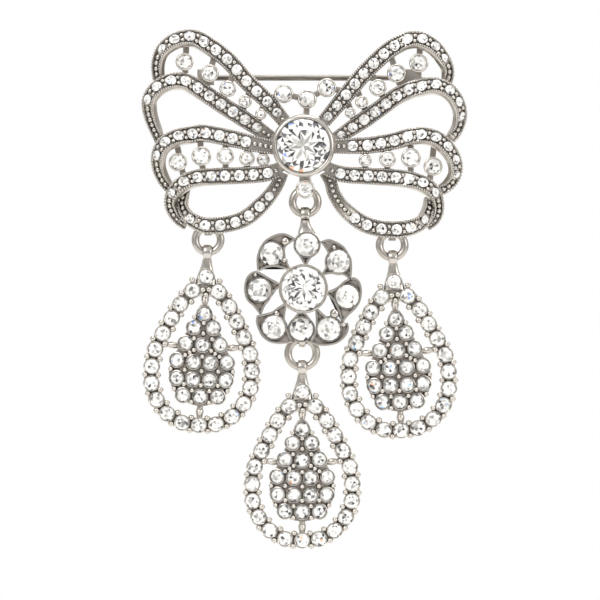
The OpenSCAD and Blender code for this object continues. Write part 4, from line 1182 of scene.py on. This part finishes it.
class BROOCH_OT_flower(bpy.types.Operator):
    """The flower: eight rimmed petals round a raised bezel, with its neck, bail and lower lug"""

    bl_idname = "brooch.flower"
    bl_label = "Flower"

    def execute(self, context):
        cx, cz = FLOWER
        t, rim = FLOWER_T, sizes().rim_w
        parts, places = [], []
        collar = turned(
            "collar_master",
            [
                (0, BACK_LIFT), (2.2, BACK_LIFT), (2.28, 0.16), (2.28, t - 0.3), (2.24, t - 0.12),
                (2.16, t + 0.02), (2.06, t + 0.02), (1.99, t - 0.1), (1.97, t - 0.3),
                (1.97, t - seat(PETAL_STONE)), (0, t - seat(PETAL_STONE))
            ],
            56, dark_from=(1.96, t)
        )
        for k, ((x, z), outline) in enumerate(PETALS):
            parts.append(
                (leaf(f"petal_{k}", rounded(outline), t, rim, 0.3), [at(cx, cz, FLOWER_F + 0.03 * (k % 2))])
            )
            parts.append((collar, [at(cx + x, cz + z, FLOWER_F)]))
            places.append(
                at(
                    cx + x, cz + z, FLOWER_F + t - seat(PETAL_STONE) + STONE_LIFT, turn(), PETAL_STONE / 2,
                    PETAL_STONE / 2
                )
            )
        disc = turned(
            "disc_master", [(0, BACK_LIFT), (3.7, BACK_LIFT), (3.82, 0.16), (3.85, 0.6), (3.85, t), (0, t)],
            64
        )
        parts.append((disc, [at(cx, cz, FLOWER_F)]))
        for x, z, d in PETAL_BALLS:
            r = d / 2
            pin = turned(
                "pin",
                [
                    (0, BACK_LIFT), (r * 0.9, BACK_LIFT), (r, 0.16), (r, t - 0.35), (r * 0.92, t - 0.12),
                    (r * 0.7, t + 0.08), (r * 0.38, t + 0.2), (0, t + 0.24)
                ],
                20
            )
            parts.append((pin, [at(cx + x, cz + z, FLOWER_F)]))
        neck = neck_piece(
            "neck", 0.8, 1.5, FLOWER_BAIL[1] - LUG_BORE - 0.1, FLOWER[1] + 9.0, HANG_F - 0.8, FLOWER_F + t,
            FLOWER_BAIL[0], FLOWER[0] + 0.6
        )
        loop = bail("bail", 1.5)
        low = bail("low_bail", 1.15)
        post = bar("post", 1.1, 1.4, 1.8, 0.2)
        parts += [
            (neck, [Matrix()]), (loop, [Matrix.Translation((FLOWER_BAIL[0], -HANG_F, FLOWER_BAIL[1]))]),
            (low, [Matrix.Translation((LOW_LUG[0], -HANG_F, LOW_LUG[1]))]),
            (post, [at(LOW_LUG[0], LOW_LUG[1] + 1.05, HANG_F + 0.75)])
        ]
        gather("flower_petals", parts, ["antiqued_and_shaded_plate", "oxide"], "flower", ["flower_frame"])
        drop_bench(*{p[0] for p in parts})
        stones("petal_crystals", places, "flower", "petal_stones", True, chances=PALE)

        r, h, stone_r = 4.05, 2.6, 3.65
        depth = seat(2 * stone_r)
        cup = turned(
            "flower_cup_master",
            [
                (0, 0), (3.55, 0), (3.65, 0.1), (3.8, 0.9), (4.02, 1.5), (r + 0.06, 1.9), (r + 0.06, 2.25),
                (4.04, 2.46), (3.93, 2.6), (3.8, 2.62), (3.7, 2.52), (3.68, h - depth), (0, h - depth)
            ],
            80, dark_from=(3.66, h)
        )
        gather(
            "flower_cup", [(cup, [at(cx, cz, FLOWER_F + t + GAP)])], ["antiqued_and_shaded_plate", "oxide"], "flower",
            ["flower_bezel"]
        )
        drop_bench(cup)
        stones(
            "flower_crystal",
            [at(cx, cz, FLOWER_F + t + GAP + h - depth + STONE_LIFT, 0.1, stone_r, stone_r)], "flower",
            "flower_stone", "fine", chances=STARRY
        )
        return {"FINISHED"}


def neck_piece(name, top, low, z_top, z_low, f_back, f_front, x_top, x_low):
    """The neck under a bail: narrow and full at the top, spreading and thinning towards the first stone."""
    stations = []
    for k in range(13):
        u = k / 12
        ease = u * u * (3 - 2 * u)
        half = top + (low - top) * ease
        back = f_back + (f_front - FLOWER_T - f_back) * ease
        front = f_front - 0.15 - 0.25 * math.sin(math.pi * u) * 0.6
        mid, deep = (back + front) / 2, (front - back) / 2
        stations.append(
            (
                np.array([x_top + (x_low - x_top) * u, -mid, z_top + (z_low - z_top) * u]),
                np.array([1.0, 0, 0]), np.array([0, -1.0, 0]), half, deep
            )
        )
    round_box = [
        (
            math.copysign(abs(math.cos(a)) ** 0.7, math.cos(a)),
            math.copysign(abs(math.sin(a)) ** 0.7, math.sin(a))
        )
        for a in [math.tau * i / 20 for i in range(20)]
    ]
    return swept(name, stations, lambda s: [(x * s[3], y * s[4]) for x, y in round_box])


class BROOCH_OT_drops(bpy.types.Operator):
    """The three drops: a ring of cups and balls, with a stone-set dome held inside it by four rods"""

    bl_idname = "brooch.drops"
    bl_label = "Drops"

    def execute(self, context):
        rings = {
            "left": (LEFT_LUG, RING_R, 2.8), "right": (RIGHT_LUG, RING_R, -2.8),
            "lower": (LOW_LUG, LOW_RING_R, 0.0)
        }
        outer, dome = outer_parts(), dome_parts()
        for name, ((x, z), r, lean) in rings.items():
            place = Matrix.Translation((x, 0, z - r)) @ Matrix.Rotation(
                math.radians(lean), 4, "Y"
            ) @ Matrix.Translation((0, 0, -r))
            gather(
                f"{name}_drop_ring", outer, ["antiqued_and_shaded_plate", "oxide"], f"{name}_drop",
                [f"{name}_drop_frame"], place=place
            )
            gather(
                f"{name}_drop_pave", dome, ["antiqued_and_shaded_plate", "oxide"], f"{name}_drop", [f"{name}_drop_dome"],
                place=place
            )
            r_stone = DROP_STONE / 2
            f = DROP_F + DROP_T - seat(DROP_STONE) + STONE_LIFT
            stones(
                f"{name}_drop_crystals",
                [at(px, pz, f, turn(), r_stone, r_stone) for px, pz in OUTER + [(0, TOP_STONE_Z)]],
                f"{name}_drop", f"{name}_drop_frame_stones", place=place
            )
            stones(
                f"{name}_drop_pave_crystals",
                [
                    on_dome(
                        px, pz, seat(DROP_STONE) - STONE_LIFT
                    ) @ Matrix.Rotation(turn(), 4, "Z") @ Matrix.Diagonal((r_stone, r_stone, r_stone, 1))
                    for px, pz in DOME_STONES
                ],
                f"{name}_drop", f"{name}_drop_dome_stones", place=place
            )
        drop_bench(*{p[0] for p in outer}, *{p[0] for p in dome})
        return {"FINISHED"}


def outer_parts():
    """The drop's outer ring, its bail and the rods to its dome, in the drop's own place."""
    h = DROP_T
    cup = turned(
        "set_cup",
        [
            (0, BACK_LIFT), (1.05, BACK_LIFT), (1.12, 0.16), (1.28, 0.9), (1.38, 1.2), (1.4, 1.45),
            (1.36, 1.62), (1.28, 1.7), (1.21, 1.66), (1.18, 1.55), (1.17, h - seat(DROP_STONE)),
            (0, h - seat(DROP_STONE))
        ],
        28, dark_from=(1.17, h)
    )
    pillar = turned(
        "ball_pillar",
        [
            (0, 2 * BACK_LIFT), (0.36, 2 * BACK_LIFT), (0.42, 0.2), (0.42, 1.0), (0.49, 1.15), (0.53, 1.36),
            (0.46, 1.6), (0.26, 1.78), (0, 1.83)
        ],
        12
    )
    points = [Vector((x, z)) for x, z in OUTER]
    pillars, stations = [], []
    loop = points + [Vector((0, -6.3))]
    for a, b in zip(points, points[1:]):
        along = (b - a).normalized()
        m = (a + b) / 2
        for side in (-1.1, 1.1):
            p = m + side * Vector((along.y, -along.x))
            pillars.append(at(p.x, p.y, DROP_F, wide=float(rng.uniform(0.9, 1.08))))
    pillars += [
        at(x, z, DROP_F) for x, z in ((-2.3, -4.7), (2.3, -4.7), (-0.45, -6.3), (0.55, -6.2), (0.1, -7.2))
    ]
    # the rail under the cups, a band swept round them
    count = len(loop)
    for i in range(count):
        for u in (0, 0.25, 0.5, 0.75):
            a, b, c, d = (loop[(i + k) % count] for k in (-1, 0, 1, 2))
            p = curve(a, b, c, d, u)
            # the curve's own direction
            q = 0.5 * ((c - a) + 2 * (2 * a - 5 * b + 4 * c - d) * u + 3 * (3 * b - a - 3 * c + d) * u * u)
            across = Vector((q.y, -q.x)).normalized()
            stations.append(
                (
                    np.array([p.x, -(DROP_F + 0.55), p.y]), np.array([across.x, 0, across.y]),
                    np.array([0, -1.0, 0])
                )
            )
    rail = swept(
        "rail", stations,
        lambda s: [
            (-1, -0.55), (1, -0.55), (1.2, -0.35), (1.2, 0.2), (1.0, 0.5), (0.7, 0.6), (-0.7, 0.6),
            (-1.0, 0.5), (-1.2, 0.2), (-1.2, -0.35)
        ],
        closed=True
    )
    top = turned(
        "top_cup",
        [
            (0, 1.5 * BACK_LIFT), (1.25, 1.5 * BACK_LIFT), (1.3, 0.18), (1.4, 1.0), (1.42, 1.4), (1.38, 1.6),
            (1.32, 1.7), (1.24, 1.66), (1.19, 1.55), (1.18, h - seat(DROP_STONE)), (0, h - seat(DROP_STONE))
        ],
        36, dark_from=(1.17, h)
    )
    neck = neck_piece("drop_neck", 0.75, 1.75, -LUG_BORE - 0.1, -5.4, DROP_F, DROP_F + h, 0, 0)
    loop_band = bail("drop_bail", 1.45)
    rod = turned(
        "rod_master",
        [
            (0, 0), (0.5, 0), (0.5, 0.36), (0.6, 0.46), (0.66, 0.62), (0.6, 0.78), (0.5, 0.88), (0.5, 1.3),
            (0, 1.3)
        ],
        12
    )
    rods = []
    f = DROP_F + 0.42
    for side in (-1, 1):
        rods.append(lay_rod(Vector((side * 6.6, -15.6)), Vector((side * 3.1, -15.85)), f + 0.35, 1.3))
    rods.append(lay_rod(Vector((0, -6.4)), Vector((0, -9.4)), f + 0.3, 1.3))
    rods.append(lay_rod(Vector((0, -28.2)), Vector((0, -25.0)), f + 0.2, 1.3))
    return [
        (cup, [at(x, z, DROP_F) for x, z in OUTER]), (pillar, pillars), (rail, [Matrix()]),
        (top, [at(0, TOP_STONE_Z, DROP_F)]), (neck, [Matrix()]),
        (loop_band, [Matrix.Translation((0, -HANG_F, 0))]), (rod, rods)
    ]


def lay_rod(a, b, f, length):
    """Lays a rod, made upright and of that length, from a to b on the front."""
    v = b - a
    z = Vector((v.x, 0, v.y)).normalized()
    y = Vector((0, -1, 0))
    x = y.cross(z)
    m = Matrix([[x[i], y[i], z[i], (a.x, -f, a.y)[i]] for i in range(3)] + [[0, 0, 0, 1]])
    return m @ Matrix.Diagonal((1, 1, v.length / length, 1))


def on_dome(x, z, deep):
    """A place on the dome, square to it, deep mm under its face."""
    a = math.asin(x / DOME_CURVE)
    base = DROP_F + DROP_T - DOME_T / 2
    m = at(0, -z, base) @ Matrix.Translation((0, 0, DOME_T - DOME_CURVE)) @ Matrix.Rotation(a, 4, "Y")
    return m @ Matrix.Translation((0, 0, DOME_CURVE - deep))


def dome_half(z):
    """Half the dome's width at z below the bail."""
    mid = DOME_LOW - DOME_R
    if z > mid:
        return math.sqrt(max(DOME_R ** 2 - (z - mid) ** 2, 0))
    top = DOME_TOP + 1
    v = mid - top
    a = math.asin((DOME_R - 1) / v)
    # the side is straight between the two circles
    z_low, z_high = mid - DOME_R * math.sin(a), top - math.sin(a)
    if z > z_low:
        return math.sqrt(max(DOME_R ** 2 - (mid - z) ** 2, 0))
    if z > z_high:
        u = (z - z_high) / (z_low - z_high)
        return (1 + (DOME_R - 1) * u) * math.cos(a)
    return math.sqrt(max(1 - (z - top) ** 2, 0))


def dome_parts():
    """The dome: a curved teardrop plate with low collars, and grains between and around its stones."""
    base = DROP_F + DROP_T - DOME_T / 2
    rows, cols = 34, 14
    points, faces = [], []
    for i in range(rows + 1):
        u = (1 - math.cos(math.pi * i / rows)) / 2
        z = DOME_TOP + 0.02 + (DOME_LOW - DOME_TOP - 0.04) * u
        half = dome_half(z)
        for k in range(cols + 1):
            x = half * math.sin(math.pi / 2 * (2 * k / cols - 1))
            fall = (abs(x) / max(half, 0.01)) ** 6 * 0.35
            top = DOME_T - DOME_CURVE + math.sqrt(DOME_CURVE ** 2 - x * x) - fall
            points.append((x, -(base + max(top - 0.05, 0.25)), -z))
    for i in range(rows):
        for k in range(cols):
            a = i * (cols + 1) + k
            faces.append((a, a + 1, a + cols + 2, a + cols + 1))
    n = len(points)
    wide = cols + 1
    rim = list(range(wide)) + [i * wide + cols for i in range(1, rows + 1)]
    rim += [rows * wide + k for k in range(cols - 1, -1, -1)] + [i * wide for i in range(rows - 1, 0, -1)]
    points += [(points[i][0], -base, points[i][2]) for i in rim]
    for k in range(len(rim)):
        m = (k + 1) % len(rim)
        faces.append((rim[m], rim[k], n + k, n + m))
    faces.append(tuple(n + k for k in range(len(rim))))
    plate = shell("dome_plate", points, faces)
    open_mesh()
    bpy.ops.mesh.remove_doubles(threshold=0.002)
    close_mesh(outward=True)
    for face in plate.data.polygons:
        face.material_index = 1 if face.normal.y < -0.8 else 0
    smooth(plate, 40)
    collar = turned(
        "dome_collar",
        [
            (0, 0), (1.3, 0), (1.38, 0.45), (1.38, 0.66), (1.32, 0.78), (1.24, 0.8), (1.18, 0.7), (1.17, 0.3),
            (0, 0.3)
        ],
        24, dark_from=(1.175, 0.75)
    )
    grain = ball("dome_grain", sizes().pave_grain_d, 10, 7)
    spots = [Vector(p) for p in DOME_STONES]
    grains = []
    # a grain wherever three stones meet
    n = len(spots)
    for i in range(n):
        for j in range(i + 1, n):
            for k in range(j + 1, n):
                trio = [spots[i], spots[j], spots[k]]
                if all((a - b).length < 3.75 for a in trio for b in trio):
                    c = (trio[0] + trio[1] + trio[2]) / 3
                    if all((c - g).length > 0.7 for g in grains):
                        grains.append(c)
    # and in the middle of any four
    for i in range(n):
        for j in range(i + 1, n):
            c = (spots[i] + spots[j]) / 2
            free = all((c - s).length > 1.68 for s in spots) and all((c - g).length > 0.72 for g in grains)
            if free and 3.5 < (spots[i] - spots[j]).length < 5:
                grains.append(c)
    # and outside two neighbours, where there is room before the dome's edge
    middle = Vector((0, 19))
    for i in range(n):
        for j in range(i + 1, n):
            a, b = spots[i], spots[j]
            if (a - b).length < 3.4:
                m = (a + b) / 2
                off = Vector((-(b - a).y, (b - a).x)).normalized() * 1.0
                for c in (m + off, m - off):
                    outside = (c - middle).length > (m - middle).length
                    if not (outside and DOME_TOP < c.y < DOME_LOW and abs(c.x) < dome_half(c.y) - 0.05):
                        continue
                    if all((c - s).length > 1.3 for s in spots) and all(
                        (c - g).length > 0.62 for g in grains
                    ):
                        grains.append(c)
    return [
        (plate, [Matrix()]), (collar, [on_dome(x, z, 0.6) for x, z in DOME_STONES]),
        (grain, [on_dome(c.x, c.y, -0.06) for c in grains])
    ]


class BROOCH_OT_castings(bpy.types.Operator):
    """The castings behind the bow, the hinge, the catch and the pin, with their edges broken"""

    bl_idname = "brooch.castings"
    bl_label = "Back, hinge, catch and pin"

    def execute(self, context):
        finishes = {
            "bow_frame": ("back_frame", "cast_back", 1, "dark_silver"),
            "ring_lugs": ("hanging_lugs", "cast_back", 1, "dark_silver"),
            "hinge_bracket": ("pin_hinge_bracket", "cast_back", 0.8, "dark_silver"),
            "hinge_rivet": ("pin_hinge_rivet", "steel", 0.8, "dark_silver"),
            "catch_body": ("catch_drum", "cast_back", 0.6, "dark_silver"),
            "catch_rotor": ("catch_turner", "antiqued_and_shaded_wire", 0.6, "antique_silver"),
            "pin_stem": ("pin_wire", "steel", 0.4, "antique_silver")
        }
        for cad, (name, key, share, slot) in finishes.items():
            source = frame["nodes"][cad]
            mesh = source.data.copy()
            mesh.materials.clear()
            obj = bpy.data.objects.new(name, mesh)
            bpy.context.scene.collection.objects.link(obj)
            take(obj)
            open_mesh()
            bpy.ops.mesh.remove_doubles(threshold=2e-6)
            bpy.ops.mesh.dissolve_limited(angle_limit=math.radians(2))
            close_mesh()
            break_edges(obj, sizes().edge_r * share * MM, 40)
            smooth(obj, 32)
            obj.data.materials.append(material(key))
            settle(obj, source["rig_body"], [cad])
        return {"FINISHED"}


class BROOCH_OT_stage(bpy.types.Operator):
    """A plain pale floor, soft studio light and a long lens square to the front"""

    bl_idname = "brooch.stage"
    bl_label = "Studio"

    def execute(self, context):
        clear()
        bpy.ops.mesh.primitive_circle_add(
            vertices=128, radius=0.3, fill_type="NGON", location=(0, 0.02, -0.105)
        )
        floor = context.object
        floor.name = "studio_floor"
        bpy.ops.object.transform_apply(location=True, rotation=True, scale=True)
        floor.data.materials.append(material("paper"))

        world = bpy.data.worlds.new("studio_sky")
        context.scene.world = world
        world.use_nodes = True
        tree = world.node_tree
        tree.nodes.clear()
        way = node(
            tree, "ShaderNodeSeparateXYZ", {"Vector": node(tree, "ShaderNodeTexCoord").outputs["Generated"]}
        )
        height = node(tree, "ShaderNodeMapRange", {"Value": way.outputs["Z"]}, From_Min=-1.0, From_Max=1.0)
        sky = ramp(
            tree, height.outputs["Result"],
            [
                (0.0, linear("#8a8886")), (0.42, linear("#b4b2af")), (0.62, linear("#e6e5e3")),
                (1.0, linear("#ffffff"))
            ]
        )
        front = node(
            tree, "ShaderNodeMapRange", {"Value": way.outputs["Y"]}, From_Min=-1.0, From_Max=-0.55,
            To_Min=0.8, To_Max=1.0
        )
        shade = node(
            tree, "ShaderNodeBackground", {"Color": sky.outputs["Color"], "Strength": front.outputs["Result"]}
        )
        white = node(tree, "ShaderNodeBackground", Color=(1, 1, 1, 1), Strength=1.0)
        seen = node(tree, "ShaderNodeLightPath")
        both = node(
            tree, "ShaderNodeMixShader",
            {
                "Fac": seen.outputs["Is Camera Ray"], 1: shade.outputs["Background"],
                2: white.outputs["Background"]
            }
        )
        node(tree, "ShaderNodeOutputWorld", {"Surface": both.outputs["Shader"]})

        for name, spot, size, power in (
            ("key", (-0.32, -0.5, 0.32), 0.26, 1.5), ("fill", (0.5, -0.42, 0.1), 0.3, 0.9),
            ("top", (0.05, -0.1, 0.6), 0.34, 1.6), ("back", (0.1, 0.6, 0.25), 0.5, 1.6),
            ("low", (-0.05, -0.55, -0.45), 0.25, 0.35)
        ):
            lamp = bpy.data.lights.new(name, "AREA")
            lamp.size, lamp.energy = size, power
            obj = bpy.data.objects.new(name, lamp)
            obj.location = spot
            obj.rotation_euler = (Vector((0, 0, -0.035)) - Vector(spot)).to_track_quat("-Z", "Y").to_euler()
            context.scene.collection.objects.link(obj)

        lens = bpy.data.cameras.new("front_camera")
        lens.lens, lens.sensor_width = 432.0, 36.0
        lens.clip_start, lens.clip_end = 0.05, 20.0
        camera = bpy.data.objects.new("front_camera", lens)
        camera.location = (-0.00067, -1.2045, -0.03717)
        camera.rotation_euler = (math.pi / 2, 0, 0)
        context.scene.collection.objects.link(camera)
        context.scene.camera = camera
        context.scene.view_settings.view_transform = "Standard"
        return {"FINISHED"}


class BROOCH_PT_panel(bpy.types.Panel):
    """Lists the steps that build the brooch"""

    bl_label = "Brooch"
    bl_idname = "BROOCH_PT_panel"
    bl_space_type = "VIEW_3D"
    bl_region_type = "UI"
    bl_category = "Brooch"

    def draw(self, context):
        column = self.layout.column()
        for group in (context.scene.brooch_sizes, context.scene.brooch_finish):
            for name in group.__annotations__:
                column.prop(group, name)
        for step in STEPS:
            column.operator(step.bl_idname)


STEPS = (
    BROOCH_OT_castings, BROOCH_OT_ribbons, BROOCH_OT_small_bezels, BROOCH_OT_centre, BROOCH_OT_rings,
    BROOCH_OT_flower, BROOCH_OT_drops, BROOCH_OT_stage
)
CLASSES = (BroochSizes, BroochFinish, *STEPS, BROOCH_PT_panel)


def register():
    for cls in CLASSES:
        bpy.utils.register_class(cls)
    bpy.types.Scene.brooch_sizes = bpy.props.PointerProperty(type=BroochSizes)
    bpy.types.Scene.brooch_finish = bpy.props.PointerProperty(type=BroochFinish)


def unregister():
    del bpy.types.Scene.brooch_finish
    del bpy.types.Scene.brooch_sizes
    for cls in reversed(CLASSES):
        bpy.utils.unregister_class(cls)


def main():
    register()
    bpy.ops.brooch.castings()
    bpy.ops.brooch.ribbons()
    bpy.ops.brooch.small_bezels()
    bpy.ops.brooch.centre()
    bpy.ops.brooch.rings()
    bpy.ops.brooch.flower()
    bpy.ops.brooch.drops()
    bpy.ops.brooch.stage()


if __name__ == "__main__":
    main()
